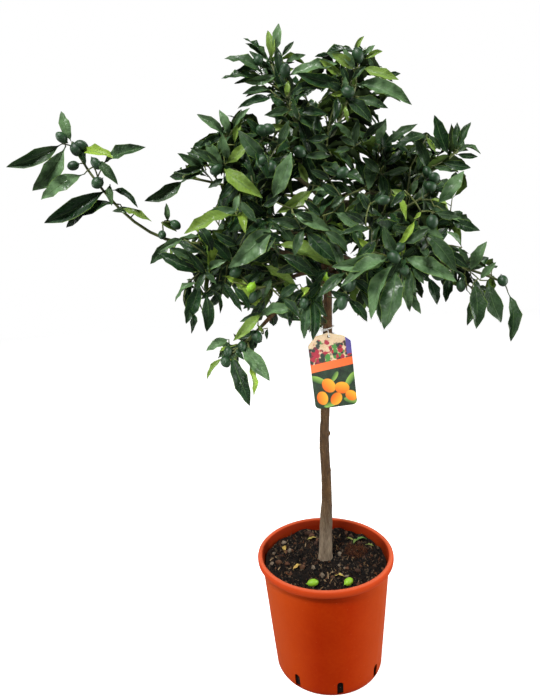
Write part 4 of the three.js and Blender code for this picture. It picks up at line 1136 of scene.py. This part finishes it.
def crowded(root, tip, spacing):
    """Whether a blade would lie nearly on top of one that is there already."""
    middle, heading = root.lerp(tip, 0.55), (tip - root).normalized()
    for step in product((-1, 0, 1), repeat=3):
        for other, other_heading in taken.get(tuple(map(sum, zip(cell_of(middle), step))), ()):
            near = (other - middle).length
            alike = other_heading.dot(heading) > ALIKE
            if near < TOUCHING * spacing or (near < ALONGSIDE * spacing and alike):
                return True
    return False


def take(root, tip):
    middle = root.lerp(tip, 0.55)
    taken.setdefault(cell_of(middle), []).append((middle, (tip - root).normalized()))


class Wood:
    """Places along the shoots that blades and fruit can join, with where each shows from the front."""

    def __init__(self):
        self.places, self.shown = [], []

    def add(self, name, line, steps=10):
        for k in range(steps + 1):
            share = min(0.999, 0.12 + 0.88 * k / steps)
            place, along = place_on(line, share)
            self.places.append((name, place, along, line, share))
            self.shown.append((*on_plane(place), place.y))

    def nearest(self, x, z, names=None, nearer=0.42):
        """The place that shows nearest to a spot, with those nearer to the front preferred."""
        shown = np.array(self.shown)
        away = np.hypot(shown[:, 0] - x, shown[:, 1] - z) + nearer * (shown[:, 2] + 200)
        for k in np.argsort(away):
            if names is None or self.places[k][0] in names:
                carry(*self.places[k][3:])
                return self.places[k][:3]


shoots_here = Wood()
for name, row in masses.items():
    for line in row["shoots_grown"] + row["spurs"]:
        shoots_here.add(name, line)
# each tone letter's share of painted sheen and painted underside light, and its youth
TONES = {"d": (0.05, 0.0), "m": (0.40, 0.0), "g": (0.95, 0.0), "l": (0.55, 0.5), "p": (0.60, 0.9)}
ONLY = {"arm": ("far_left",), "low": ("low_left",)}
BLADE_WIDTH, TWIG_GAP, FRONT_SEED = 0.31, 3.0, 20011
vary = random_from(FRONT_SEED)


def joined_twig(name, start, along, end):
    """A fine twig from a shoot to where a blade or fruit stands off it. Later ones can join it too."""
    if (end - start).length < TWIG_GAP:
        return
    line = bowed(start, end, along * 0.12, 3)
    fine_twigs.append(tube(line, [1.2, 1.1, 1.0, 0.85], 5))
    shoots_here.add(name, line, 3)


for spray, rows in FRONT_BLADES.items():
    for tip_x, tip_z, root_x, root_z, width, tone in rows:
        name, start, along = shoots_here.nearest(root_x, root_z, ONLY.get(spray))
        depth = start.y - 4 * vary()
        root = at_depth(root_x, root_z, depth)
        long = math.hypot(tip_x - root_x, tip_z - root_z)
        tip = at_depth(tip_x, tip_z, depth - (0.30 if depth < -40 else 0.1) * long * (vary() + 0.1))
        joined_twig(name, start, along, root)
        heading = (tip - root).normalized()
        to_front = (VIEW_POINT - root).normalized()
        to_front = (to_front - heading * to_front.dot(heading)).normalized()
        full = BLADE_WIDTH * (tip - root).length
        broad = min(1.08, max(0.8, 0.95 * width / full))
        roll = math.acos(min(1.0, 0.95 * width / (full * broad))) * 0.92 + 0.3 * (vary() - 0.5)
        face = max((Quaternion(heading, way * roll) @ to_front for way in (-1, 1)), key=lambda way: way.z)
        shade, young = TONES[tone]
        for spot in (root.lerp(tip, part) for part in (0.25, 0.6, 0.9)):
            front_spots.append((*on_plane(spot), spot.y))
        joints.append(Joint(name, root, along, tip, min(1, shade + 0.1 * vary()), young, face, broad))
        take(root, tip)


LEAF_LENGTH, INTERNODE, INNER_INTERNODE, INNER_SPACING = 86, 12.5, 11, 0.55
LEAF_OPEN, LEAF_CLOSE, LEAF_VARIES = 80, 48, 36  # degrees at the shoot's foot, fewer at its end, by chance
WAYS = 6  # turns that a blade tries before it is left out


def along_shoot(row, line, phase, random, internode, longest_share=1.0, spacing=1.0):
    """Sets blades in a spiral along a shoot, wherever each finds a way to stand that is free."""
    length = sum((b - a).length for a, b in zip(line, line[1:]))
    count = max(2, round(0.92 * length / internode))
    for i in range(count):
        share = 0.12 + 0.86 * (i + 0.7) / (count - 0.3)
        root, along = place_on(line, min(0.995, share))
        open_by = math.radians(LEAF_OPEN - LEAF_CLOSE * share + LEAF_VARIES * (random() - 0.5))
        sag = (0.25 + 0.6 * row["hang"]) * (0.3 + 1.4 * random())
        long = LEAF_LENGTH * row["leaf"] * longest_share * (0.66 + 0.5 * random())
        # the blade's share of painted sheen and painted underside light, mostly low inside the crown
        tone = 0.6 * random() ** 2
        for way in range(WAYS):
            face = 1.5 * (i + way) if row["ranks"] else phase + i * 1.24 + way
            side = sideways(along, (2 * face + 1) * math.pi / 3)
            heading = along * math.cos(open_by) + side * math.sin(open_by)
            heading = (heading - UP * (sag if way < 3 else 0.2 * sag)).normalized()
            tip = root + heading * long * (1 - 0.05 * way)
            spots = [root.lerp(tip, part) for part in (0.25, 0.5, 0.75, 1.0)]
            if not all(within_crown(spot) and inside_dome(spot) and not hides_front(spot)
                       for spot in spots):
                continue
            if all(own_space(row, spot) for spot in spots[1::2]) and not crowded(root, tip, spacing):
                joints.append(Joint(row["name"], root, along, tip, tone))
                take(root, tip)
                carry(line, share)
                break


for row in masses.values():
    for i, line in enumerate(row["shoots_grown"]):
        along_shoot(row, line, row["seed"] + i, row["random"], INTERNODE)
for row in masses.values():
    for i, line in enumerate(row["spurs"]):
        along_shoot(row, line, row["seed"] + 3 * i, row["extra"], INTERNODE, 0.86)
for row in masses.values():  # a second, shorter and closer crop inside
    for i, line in enumerate(row["shoots_grown"] + row["spurs"]):
        phase = row["seed"] + 5 * i + 0.8
        along_shoot(row, line, phase, row["extra"], INNER_INTERNODE, 0.72, INNER_SPACING)
for row in masses.values():  # behind, the palest blades are the youngest: they stand at the ends of shoots
    own = [joint for joint in joints if joint.mass == row["name"] and joint.face is None]
    own.sort(key=lambda joint: (joint.root - row["tip"]).length + 90 * joint.tone)
    for joint in own[:1 + row["young"] // 2]:
        joint.young = 0.6 + 0.3 * row["extra"]()
        joint.tip = joint.root.lerp(joint.tip, 0.82)


def facing_of(joint):
    heading = (joint.tip - joint.root).normalized()
    if joint.face is not None:
        return heading, joint.face
    away = joint.root - DOME_MIDDLE
    outward = (away * FACING).normalized()
    face = outward * 0.8 + joint.along * 0.35 + UP * 0.5
    face = (face - heading * face.dot(heading)).normalized()
    roll = 1.1 * (joint.tone - 0.5) + 0.5 * math.sin(joint.root.x * 3.1)
    return heading, Quaternion(heading, roll) @ face


def place_tree():
    """Puts a shape on each point by the point's own turn, size and kind."""
    takes = dict(Joints="Geometry", Shapes="Collection", Thickness="Float", Material="Material")
    tree, given = new_group("place_at_joints", "GeometryNodeTree", takes, dict(Placed="Geometry"))
    turn, kind, long, broad = (
        put(tree, "GeometryNodeInputNamedAttribute", {"Name": label}, data_type=what).outputs[0]
        for label, what in (("turn", "QUATERNION"), ("kind", "INT"), ("size", "FLOAT"), ("broad", "FLOAT")))
    size = put(tree, "ShaderNodeCombineXYZ", {"X": reckon(tree, "MULTIPLY", long, broad), "Y": long,
                                              "Z": reckon(tree, "MULTIPLY", long, given["Thickness"])})
    placed = put(tree, "GeometryNodeInstanceOnPoints",
                 {"Points": given["Joints"], "Instance": shapes_of(tree, given["Shapes"]),
                  "Pick Instance": True, "Instance Index": kind, "Rotation": turn,
                  "Scale": size.outputs[0]})
    return end_scatter(tree, "Placed", placed.outputs[0], given["Material"])


def placed_piece(name, spots, shelf, material, thickness=1.0):
    """One joined mesh of shapes, from spots of (place, turn, size, kind, tone, young, broad)."""
    piece = mesh_piece(name, [spot[0] * TO_METRES for spot in spots], [], material)
    kinds = dict(turn="QUATERNION", size="FLOAT", kind="INT", tone="FLOAT", young="FLOAT", broad="FLOAT")
    for column, (label, kind) in enumerate(kinds.items(), 1):
        values = [spot[column] for spot in spots]
        if label == "turn":
            values = [v for turn in values for v in turn]
        piece.data.attributes.new(label, kind, "POINT").data.foreach_set("value", values)
    run_nodes(piece, PLACE, Shapes=shelf, Thickness=thickness, Material=material)
    for label in ("turn", "kind", "size", "broad"):
        if label in piece.data.attributes:
            piece.data.attributes.remove(piece.data.attributes[label])
    return piece


def turn_to(heading, face):
    """The turn that lays a shape's length along a heading, with its face to one side."""
    return Matrix((heading.cross(face), heading, face)).transposed().to_quaternion()


leaf_skin, tree, shader = finish_named("citrus_leaf", Roughness=0.36, Specular_IOR_Level=0.22)
parts = axes_of(tree, put(tree, "ShaderNodeUVMap", uv_map="leaf_uv").outputs["UV"])
under = reckon(tree, "GREATER_THAN", parts["X"], 0.5)  # the top's picture lies left, the underside's right
across = reckon(tree, "FRACT", reckon(tree, "MULTIPLY", parts["X"], 2.0))
from_rib = reckon(tree, "ABSOLUTE", reckon(tree, "SUBTRACT", across, 0.5))
tone, young, place = attribute(tree, "tone"), attribute(tree, "young"), object_place(tree)

# the top: dark green with a painted grey-green sheen in patches where it would shine, a lime margin, a pale
# rib, veins and dust
top = mottled(tree, place, 34.0, 210.0, 0.3, paint(1, 10, 3), paint(27, 58, 27))["Color"]
# painted sheen: grey-green patches, more of them the higher the blade's tone
painted_sheen_patches = ranged(tree, clouds(tree, place, 46.0, 2.0), 0.36, 0.64, 0.3, 1.2)
painted_sheen_share = reckon(tree, "MULTIPLY", reckon(tree, "POWER", tone, 1.5), painted_sheen_patches, use_clamp=True)
rib = ranged(tree, from_rib, 0.006, 0.03, 0.9, 0.0)
vein_phase = reckon(tree, "ADD", parts["Y"], reckon(tree, "MULTIPLY", from_rib, -0.32))
vein_wave = reckon(tree, "SINE", reckon(tree, "MULTIPLY", vein_phase, 82.0))
veins = ranged(tree, vein_wave, 0.82, 1.0, 0.0, 0.34)
dust = ranged(tree, dots(tree, place, 170.0)["Distance"], 0.05, 0.11, 0.4, 0.0)
top = layered(
    tree, top, (painted_sheen_share, (96, 126, 84)), (ranged(tree, from_rib, 0.455, 0.5, 0.0, 0.85), (118, 148, 58)),
    (young, (142, 172, 62)), (rib, (86, 116, 66)), (veins, (58, 86, 54)), (dust, (150, 160, 138)))

# the underside: painted pale as if light fell through where the tone or the blade's youth is high, and
# painted shade where the tone is low, deep in the crown
below = mottled(tree, place, 30.0, 260.0, 0.3, paint(72, 102, 32), paint(108, 138, 50))["Color"]
below = blend(tree, reckon(tree, "ADD", tone, young, use_clamp=True), paint(12, 24, 8), below)

puckers = clouds(tree, place, 120.0, 1.0)
sheen = ranged(tree, puckers, 0.38, 0.62, 0.24, 0.56)
tree.links.new(reckon(tree, "MAXIMUM", sheen, under), shader.inputs["Roughness"])
relief = reckon(tree, "MULTIPLY_ADD", puckers, 3.2, reckon(tree, "ADD", veins, rib))
lay_on(tree, shader, blend(tree, under, top, below), relief, 0.6, 0.0009)

PLACE = place_tree()
blades = blade_shelf()
SPRAYS = {
    "left": ("far_left", "left_low", "low_left", "left", "left_front", "front_left"),
    "front": ("front_low", "front_right", "front_middle", "front_high", "right_front"),
    "right": ("right_low", "right", "right_up", "right_high"),
    "top": ("top_right", "top_left", "left_high", "top_middle"),
    "back": ("left_back", "back_low_left", "back_low_right", "back_middle", "back_right", "back_left",
             "back_high"),
}
for side_name, members in SPRAYS.items():
    spots = []
    for k, joint in enumerate(joints):
        if joint.mass not in members:
            continue
        size = (joint.tip - joint.root).length * TO_METRES
        kind = (k * 7 + int(joint.tone * 97)) % len(BLADES)
        spots.append((joint.root, turn_to(*facing_of(joint)), size, kind, joint.tone, joint.young,
                      joint.broad))
    spray = placed_piece("leaves_" + side_name + "_spray", spots, blades, leaf_skin)
    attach(spray, "root")
    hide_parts(*["leaves_" + member for member in members])

# ---------------------------------------------------------------- oranges
# Unripe oval oranges, hard and dark green with a pitted rind, singly or in twos and threes on short
# stalks with a five-pointed calyx. Two small ones have dropped early and lie on the soil.
FRUIT_LENGTH, SLIM = 10.8, 0.82  # half a fruit's length in millimetres, and how slim the fallen ones are


def orange(slim):
    """One fruit of unit half length along Y with its calyx and stalk at the near end, tip at Y = 2."""
    rows = [(0.0, 0.0), (0.035, 0.20), (0.12, 0.40), (0.30, 0.60), (0.55, 0.73), (0.85, 0.79), (1.15, 0.78),
            (1.45, 0.70), (1.70, 0.52), (1.88, 0.32), (1.965, 0.15), (1.955, 0.0)]
    points, faces = turned([(radius * slim, z) for z, radius in rows], 16)
    calyx, petals = turned([(0.0, -0.30), (0.06, -0.28), (0.06, -0.10), (0.15, -0.055), (0.30, -0.02),
                            (0.17, 0.03), (0.0, 0.06)], 10)
    for k, (x, y, z) in enumerate(calyx):
        if math.hypot(x, y) > 0.25:  # every other corner of the rim is a sepal's tip
            spoke = round(math.atan2(y, x) / (2 * math.pi) * 10)
            reach = 1.05 if spoke % 2 else 0.62
            calyx[k] = (x * reach, y * reach, z)
    faces += [tuple(i + len(points) for i in face) for face in petals]
    return [Vector((x, z, y)) for x, y, z in points + calyx], [tuple(reversed(face)) for face in faces]


rind, tree, shader = finish_named("orange_rind", Roughness=0.48)
place = object_place(tree)
tone = attribute(tree, "tone")
deep = mottled(tree, place, 40.0, 300.0, 0.35, paint(17, 42, 22), paint(38, 70, 36))["Color"]
greens = blend(tree, ranged(tree, tone, 0.55, 1.0, 0.0, 0.9), deep, paint(130, 176, 34))
pits = ranged(tree, dots(tree, place, 720.0)["Distance"], 0.0, 0.4)
lay_on(tree, shader, blend(tree, 0.25, greens, pits, blend_type="OVERLAY"), pits, 0.35, 0.0004)

oranges = shape_shelf("orange", [orange(1.0), orange(0.92), orange(1.06)])
# The fruit of the front half: across and up as for the blades, and its tone.
FRONT_FRUIT = [
    (-426, 1049, "d"), (-392, 1034, "d"), (-403, 1027, "d"), (-412, 1001, "d"), (-371, 1002, "d"),
    (-373, 970, "d"), (-242, 891, "d"), (-268, 875, "d"), (-80, 1154, "d"), (89, 1152, "d"),
    (-80, 1042, "m"), (-68, 1043, "d"), (-164, 981, "d"), (-83, 991, "d"), (-66, 980, "d"), (58, 965, "d"),
    (206, 957, "m"), (218, 948, "m"), (146, 813, "m"), (155, 829, "m"), (24, 784, "p"), (65, 766, "m"),
    (49, 735, "d"), (164, 789, "d"), (226, 777, "d"), (268, 754, "d"), (344, 759, "d"), (-115, 772, "p"),
    (-113, 754, "m"), (-143, 801, "d"), (-110, 681, "m"), (-166, 656, "d"), (-171, 637, "m"),
    (-139, 664, "d"), (-20, 739, "d"), (215, 871, "m"), (71, 1096, "m"), (-35, 1136, "d"), (-16, 1003, "d"),
    (211, 933, "m"), (129, 914, "d"), (6, 851, "m")]
RIPENESS = {"d": 0.1, "m": 0.45, "p": 1.0}  # dark, middle and pale
hung = []
for x, z, tone in FRONT_FRUIT:
    name, start, along = shoots_here.nearest(x, z, nearer=0.2)
    middle = at_depth(x, z, start.y - 9)
    to_front = (VIEW_POINT - middle).normalized()
    heading = (middle - start).normalized() * 0.8 + along * 0.3 - UP * 0.4
    heading = (heading - to_front * 0.8 * heading.dot(to_front)).normalized()
    long = FRUIT_LENGTH * (0.84 + 0.2 * vary())
    root = middle - heading * long
    joined_twig(name, start, along, root - heading * 2)
    hung.append((root, heading, long, RIPENESS[tone] + 0.1 * vary()))
for row in masses.values():
    if row["tip"].y < 50:  # the front's fruit hangs already
        continue
    for i in range(row["fruits"]):
        line = row["shoots_grown"][(i + 1) % len(row["shoots_grown"])]
        root, along = place_on(line, 0.45 + 0.4 * row["random"]())
        turn_by = 2 * math.pi * row["random"]()
        for k in range(2 if row["extra"]() > 0.45 else 1):
            heading = (sideways(along, turn_by + 2.1 * k) - UP * 0.5).normalized()
            long = FRUIT_LENGTH * (0.86 + 0.2 * row["extra"]())
            hung.append((root + heading * 2.6, heading, long, row["extra"]() ** 1.4))
            carry(line, 0.85)
spots = []
for k, (root, heading, long, tone) in enumerate(hung):
    turn = turn_to(heading, heading.orthogonal().normalized())
    spots.append((root, turn, long * TO_METRES * 0.97, k % 3, tone, 0.0, 1.0))
fruit = placed_piece("oranges_hanging", spots, oranges, rind)
smooth(fruit)
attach(fruit, "root")
for name, shapes in (("twigs", twig_meshes()), ("fine_twigs", fine_twigs)):
    stalks = mesh_piece(name, *joined(shapes, TO_METRES), green_wood)
    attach(stalks, "root")

FALLEN_LENGTH = 10.6  # half the length of a fallen one
for name, spin, tone in (("fallen_fruit_left", 0.15, 0.96), ("fallen_fruit_right", 0.75, 1.0)):
    low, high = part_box(name)
    heading = Vector((math.cos(spin), math.sin(spin), 0.05)).normalized()
    root = (low + high) / 2 * 1000 - heading * FALLEN_LENGTH
    spot = (root, turn_to(heading, UP), FALLEN_LENGTH * TO_METRES, 0, tone, 0.0, SLIM)
    dropped = placed_piece(name + "_rind", [spot], oranges, rind, SLIM)
    smooth(dropped)
    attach(dropped, "root")
    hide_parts(name)
clear_shelf(oranges)

# ---------------------------------------------------------------- fallen leaves
# A few blades have dropped onto the soil: green ones in a group at the back right, and dry, curled ones
# here and there. They are the tree's own blades, small, and lie loose.
dry_skin, tree, shader = finish_named("fallen_leaf", Roughness=0.7)
place = object_place(tree)
tone = attribute(tree, "tone")
dry = mottled(tree, place, 60.0, 420.0, 0.5, paint(150, 112, 48), paint(206, 178, 92))
fresh = mottled(tree, place, 60.0, 420.0, 0.5, paint(50, 86, 34), paint(92, 132, 54))
lay_on(tree, shader, blend(tree, tone, fresh["Color"], dry["Color"]), dry["Height"], 0.5, 0.0008)
FALLEN = [  # across, back, turn, length, which blade, and how dry
    (-58, -30, 0.7, 26, 2, 1.0), (70, 50, 0.9, 22, 1, 0.1), (83, 56, 0.2, 27, 4, 0.0),
    (97, 38, 2.7, 20, 8, 0.2), (20, -66, 2.9, 20, 5, 0.8), (-20, 74, 0.3, 24, 0, 0.6),
    (-80, 40, 1.6, 26, 6, 0.9), (60, 62, 2.4, 20, 3, 0.3)]
spots = []
for x, y, spin, long, kind, tone in FALLEN:
    heading = Vector((math.cos(spin), math.sin(spin), 0.0))
    start = Vector((x, y, 0)) - heading * long / 2
    ends = [1000 * soil_height(p.x / 1000, p.y / 1000) for p in (start, start + heading * long)]
    start.z = max(ends) + 2.2
    spots.append((start, turn_to(heading, UP), long * TO_METRES, kind, tone, 0.0, 1.0))
litter = placed_piece("fallen_leaves", spots, blades, dry_skin)
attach(litter, "root")
clear_shelf(blades)

# ---------------------------------------------------------------- label
# A plant label of printed card laminated in clear film, die-cut with a round eye. Its plain print has a
# flowering hedge by a pale wall above, an orange band, and leaves with oval fruit on a dark ground below.
TAG_WIDTH, TAG_HEIGHT, TAG_THICK, TAG_TILT = 0.079, 0.142, 0.0008, math.radians(4.4)
TAG_CORNER, EYE, EYE_DROP, TAG_TOP = 0.009, 0.0029, 0.0072, 684  # the label's top is in millimetres
half, foot = TAG_WIDTH / 2, TAG_CORNER - TAG_HEIGHT
outline = [(-half, -0.020), (-half + 0.014, -0.004), (-0.0055, -0.0008), (-0.003, 0.0), (-0.001, 0.0),
           (half - 0.012, -0.009), (half, -0.020)]
for middle, first, last in ((half - TAG_CORNER, 0, -math.pi / 2),
                            (TAG_CORNER - half, -math.pi / 2, -math.pi)):
    outline += [(middle + TAG_CORNER * math.cos(a), foot + TAG_CORNER * math.sin(a))
                for a in np.linspace(first, last, 7)]
eye = [(EYE * math.cos(a), EYE * math.sin(a) - EYE_DROP) for a in np.linspace(0, 2 * math.pi, 25)[:-1]]
card = bmesh.new()
loops = []
for ring in (outline, eye):
    corners = [card.verts.new((x, 0, z)) for x, z in ring]
    loops += [card.edges.new((a, b)) for a, b in zip(corners, corners[1:] + corners[:1])]
bmesh.ops.triangle_fill(card, edges=loops, use_beauty=True)
bmesh.ops.recalc_face_normals(card, faces=card.faces)
pushed = bmesh.ops.extrude_face_region(card, geom=card.faces[:])
moved = [part for part in pushed["geom"] if isinstance(part, bmesh.types.BMVert)]
bmesh.ops.translate(card, vec=(0, TAG_THICK, 0), verts=moved)
bmesh.ops.recalc_face_normals(card, faces=card.faces)
tag_mesh = bpy.data.meshes.new("plant_label")
card.to_mesh(tag_mesh)
card.free()
print_uv = tag_mesh.uv_layers.new(name="print_uv")
for loop in tag_mesh.loops:
    x, y, z = tag_mesh.vertices[loop.vertex_index].co
    print_uv.data[loop.index].uv = (x / TAG_HEIGHT + 0.5, z / TAG_HEIGHT + 1)
front_side = tag_mesh.attributes.new("front", "FLOAT", "FACE")
front_side.data.foreach_set("value", [float(abs(face.normal.y) > 0.5) for face in tag_mesh.polygons])
trunk_here, trunk_wide = trunk_at(TAG_TOP)
tag_front = -(trunk_wide + 3.2)
hung_at = Matrix.Translation((trunk_here.x / 1000, tag_front / 1000 - TAG_THICK, TAG_TOP / 1000))
tag_mesh.transform(hung_at @ Matrix.Rotation(-TAG_TILT, 4, "Y"))
tag = in_scene("plant_label", tag_mesh)

takes = dict(Vector="Vector", Middle="Vector", Turn="Float", Long="Float", Wide="Float", Soft="Float")
oval_print, given = new_group("printed_oval", "ShaderNodeTree", takes, dict(Mask="Float", Shade="Float"))
shifted = put(oval_print, "ShaderNodeVectorMath", {0: given["Vector"], 1: given["Middle"]},
              operation="SUBTRACT")
spun = put(oval_print, "ShaderNodeVectorRotate", {"Vector": shifted.outputs[0], "Angle": given["Turn"]},
           rotation_type="Z_AXIS")
axes = axes_of(oval_print, spun.outputs[0])
by_long = reckon(oval_print, "DIVIDE", axes["X"], given["Long"])
by_wide = reckon(oval_print, "DIVIDE", axes["Y"], given["Wide"])
flat = put(oval_print, "ShaderNodeCombineXYZ", {"X": by_long, "Y": by_wide})
away = put(oval_print, "ShaderNodeVectorMath", {0: flat.outputs[0]}, operation="LENGTH").outputs["Value"]
mask = ranged(oval_print, away, 1.0, reckon(oval_print, "ADD", 1.0, given["Soft"]), 1.0, 0.0)
shade = reckon(oval_print, "MULTIPLY_ADD", by_wide, 0.5, 0.5)
put(oval_print, "NodeGroupOutput", {"Mask": mask, "Shade": shade})

card_print, tree, shader = finish_named("printed_card", Roughness=0.3, Coat_Weight=0.3, Coat_Roughness=0.2)
cell = put(tree, "ShaderNodeUVMap", uv_map="print_uv").outputs["UV"]
parts = axes_of(tree, cell)
wall_print = mottled(tree, cell, 10.0, 60.0, 0.4, paint(206, 174, 132), paint(238, 216, 180))["Color"]
petals = dots(tree, cell, 19.0)
petal_mask = ranged(tree, petals["Distance"], 0.66, 0.8, 1.0, 0.0)
climb = reckon(tree, "MULTIPLY_ADD", parts["Y"], -0.9, 0.6)
hedge_top = reckon(tree, "MULTIPLY_ADD", clouds(tree, cell, 7.0, 3.0), 0.75, climb)
planted = reckon(tree, "MULTIPLY", petal_mask, ranged(tree, hedge_top, 0.2, 0.23))
petal_pick = put(tree, "ShaderNodeSeparateColor", {"Color": petals["Color"]}).outputs[0]
petal_ramp = put(tree, "ShaderNodeValToRGB", {"Fac": petal_pick})
petal_ramp.color_ramp.interpolation = "CONSTANT"
petal_stops = petal_ramp.color_ramp.elements
petal_stops[0].color = paint(176, 34, 58)
petal_stops[1].position, petal_stops[1].color = 0.30, paint(40, 52, 42)
for position, colour in ((0.62, (70, 140, 58)), (0.78, (112, 34, 48))):
    petal_stops.new(position).color = paint(*colour)
shown = blend(tree, planted, wall_print, petal_ramp.outputs["Color"])
level = reckon(tree, "SUBTRACT", parts["Y"], reckon(tree, "MULTIPLY_ADD", parts["X"], 0.1, 0.0))
field = mottled(tree, cell, 14.0, 60.0, 0.4, paint(8, 14, 14), paint(44, 70, 44))["Color"]
HORIZON, BAND_FOOT, BAND_TOP, STRIP_FOOT, STRIP_LEFT = 0.5, 0.47, 0.575, 0.62, 0.71
shown = blend(tree, reckon(tree, "LESS_THAN", level, HORIZON), shown, field)
DARK_LEAF, LIGHT_LEAF = (40, 84, 34), (150, 190, 84)
DEEP_ORANGE, BRIGHT_ORANGE = (228, 92, 6), (252, 176, 46)
LEAVES = [  # middle, turn, half length and half width
    ((0.30, 0.39), 0.5, 0.110, 0.040), ((0.72, 0.35), -0.9, 0.115, 0.040),
    ((0.44, 0.05), 2.9, 0.100, 0.036), ((0.70, 0.06), 0.4, 0.095, 0.036), ((0.52, 0.41), 2.2, 0.075, 0.030)]
FRUIT = [
    ((0.43, 0.30), 1.0, 0.100, 0.078), ((0.60, 0.25), 0.3, 0.094, 0.076),
    ((0.33, 0.14), 1.4, 0.090, 0.070), ((0.51, 0.11), 2.2, 0.086, 0.070), ((0.71, 0.13), 0.7, 0.080, 0.064)]
OVALS = [(*oval, DARK_LEAF, LIGHT_LEAF) for oval in LEAVES]
OVALS += [(*oval, DEEP_ORANGE, BRIGHT_ORANGE) for oval in FRUIT]
for (x, y), spin, long, wide, dark, light in OVALS:
    values = {"Vector": cell, "Middle": (x, y, 0), "Turn": spin, "Long": long, "Wide": wide, "Soft": 0.06}
    oval = put(tree, "ShaderNodeGroup", values, node_tree=oval_print).outputs
    shown = blend(tree, oval["Mask"], shown, blend(tree, oval["Shade"], paint(*dark), paint(*light)))
in_band = reckon(tree, "MULTIPLY", reckon(tree, "GREATER_THAN", level, BAND_FOOT),
                 reckon(tree, "LESS_THAN", level, BAND_TOP))
band_tone = blend(tree, ranged(tree, parts["X"], 0.2, 0.8), paint(255, 122, 60), paint(250, 104, 40))
shown = blend(tree, in_band, shown, band_tone)
in_strip = reckon(tree, "MULTIPLY", reckon(tree, "GREATER_THAN", level, STRIP_FOOT),
                  reckon(tree, "GREATER_THAN", parts["X"], STRIP_LEFT))
shown = layered(tree, shown, (in_strip, (84, 74, 146)))
edged = blend(tree, attribute(tree, "front"), paint(236, 234, 226), shown)
lay_on(tree, shader, edged, clouds(tree, cell, 9.0, 2.0), 0.25, 0.0012)
tag_mesh.materials.append(card_print)
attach(tag, "root")
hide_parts("label")

# ---------------------------------------------------------------- label's string
# Thin white cotton string, two strands laid round each other. It runs through the label's eye and twice
# round the stem, and is tied in a small knot with two short tails.
around = trunk_wide + 2.6
front = tag_front - 0.4
eye_height = TAG_TOP - EYE_DROP * 1000
TWO_STRANDS, STRAND, LAY = 0.58, 0.56, 12  # how far a strand lies off the middle, its radius, steps a turn
UPPER_OUT, UPPER_RISE, UPPER_DIP = 1.06, 15, 2.2  # of the second turn round the stem
loop_points = [Vector((trunk_here.x + x, y, eye_height + z)) for x, y, z in (
    (0.6, front - 2.6, 2), (0.9, front, -0.4), (around * 0.72, -around * 0.66, 0.6), (around, 0, 3),
    (0, around, 6), (-around, 0, 9), (-around * 0.6, -around * 1.02, 11), (-1, front - 1, 12),
    (0, front - 4, 7))]


def smooth_loop(points, steps):
    """A closed line that runs smoothly through a row of points."""
    line = []
    for k in range(len(points)):
        a, b, c, d = (points[(k + n) % len(points)] for n in (-1, 0, 1, 2))
        for t in (step / steps for step in range(steps)):
            bend = (2 * a - 5 * b + 4 * c - d) * t * t + (3 * b - a - 3 * c + d) * t**3
            line.append(0.5 * (2 * b + (c - a) * t + bend))
    return line


def ring_tube(line, radius, sides=6):
    """A round cord along a closed line."""
    points = []
    for k, centre in enumerate(line):
        along = (line[(k + 1) % len(line)] - line[k - 1]).normalized()
        side = UP - along * along.z if abs(along.z) < 0.95 else along.orthogonal()
        points += ring_about(centre, along, side.normalized(), radius, sides)
    return points, quads_between(len(line), sides, closed=True)


upper_turn = []
for x, y, _ in round_points(around, 8):
    dip = UPPER_DIP * math.cos(math.atan2(y, x) - 0.4)
    upper_turn.append(Vector((trunk_here.x + UPPER_OUT * x, UPPER_OUT * y, eye_height + UPPER_RISE + dip)))
strands = []
for turn in (loop_points, upper_turn):
    middle_line = smooth_loop(turn, 16)
    for strand in (0, 1):
        line = []
        for k, point in enumerate(middle_line):
            along = (middle_line[(k + 1) % len(middle_line)] - middle_line[k - 1]).normalized()
            twist = Quaternion(along, math.pi * strand + 2 * math.pi * k / LAY)
            line.append(point + twist @ along.orthogonal().normalized() * TWO_STRANDS)
        strands.append(ring_tube(line, STRAND))
knot = Vector((trunk_here.x + around, 0, eye_height + 3))
for spin in (0.0, 1.1, 2.2):
    axis = Quaternion(Vector((0.3, 1, 0.2)).normalized(), spin) @ UP
    strands.append(ring_tube(ring_about(knot, axis, axis.orthogonal().normalized(), 1.3, 14), 0.55))
for lean in (-0.5, 0.6):
    tail = [knot, knot + Vector((1.5, lean * 2, -3)), knot + Vector((1.8, lean * 5, -8))]
    strands.append(tube(tail, [0.5, 0.45, 0.4], 6))
cotton, tree, shader = finish_named("cotton_string", Roughness=0.85)
yarn = mottled(tree, object_place(tree), 300.0, 1500.0, 0.6, paint(206, 204, 198), paint(246, 245, 240))
lay_on(tree, shader, yarn["Color"], yarn["Height"], 0.6, 0.0004)
string = mesh_piece("label_string", *joined(strands, TO_METRES), cotton)
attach(string, "root")
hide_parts("label_tie")
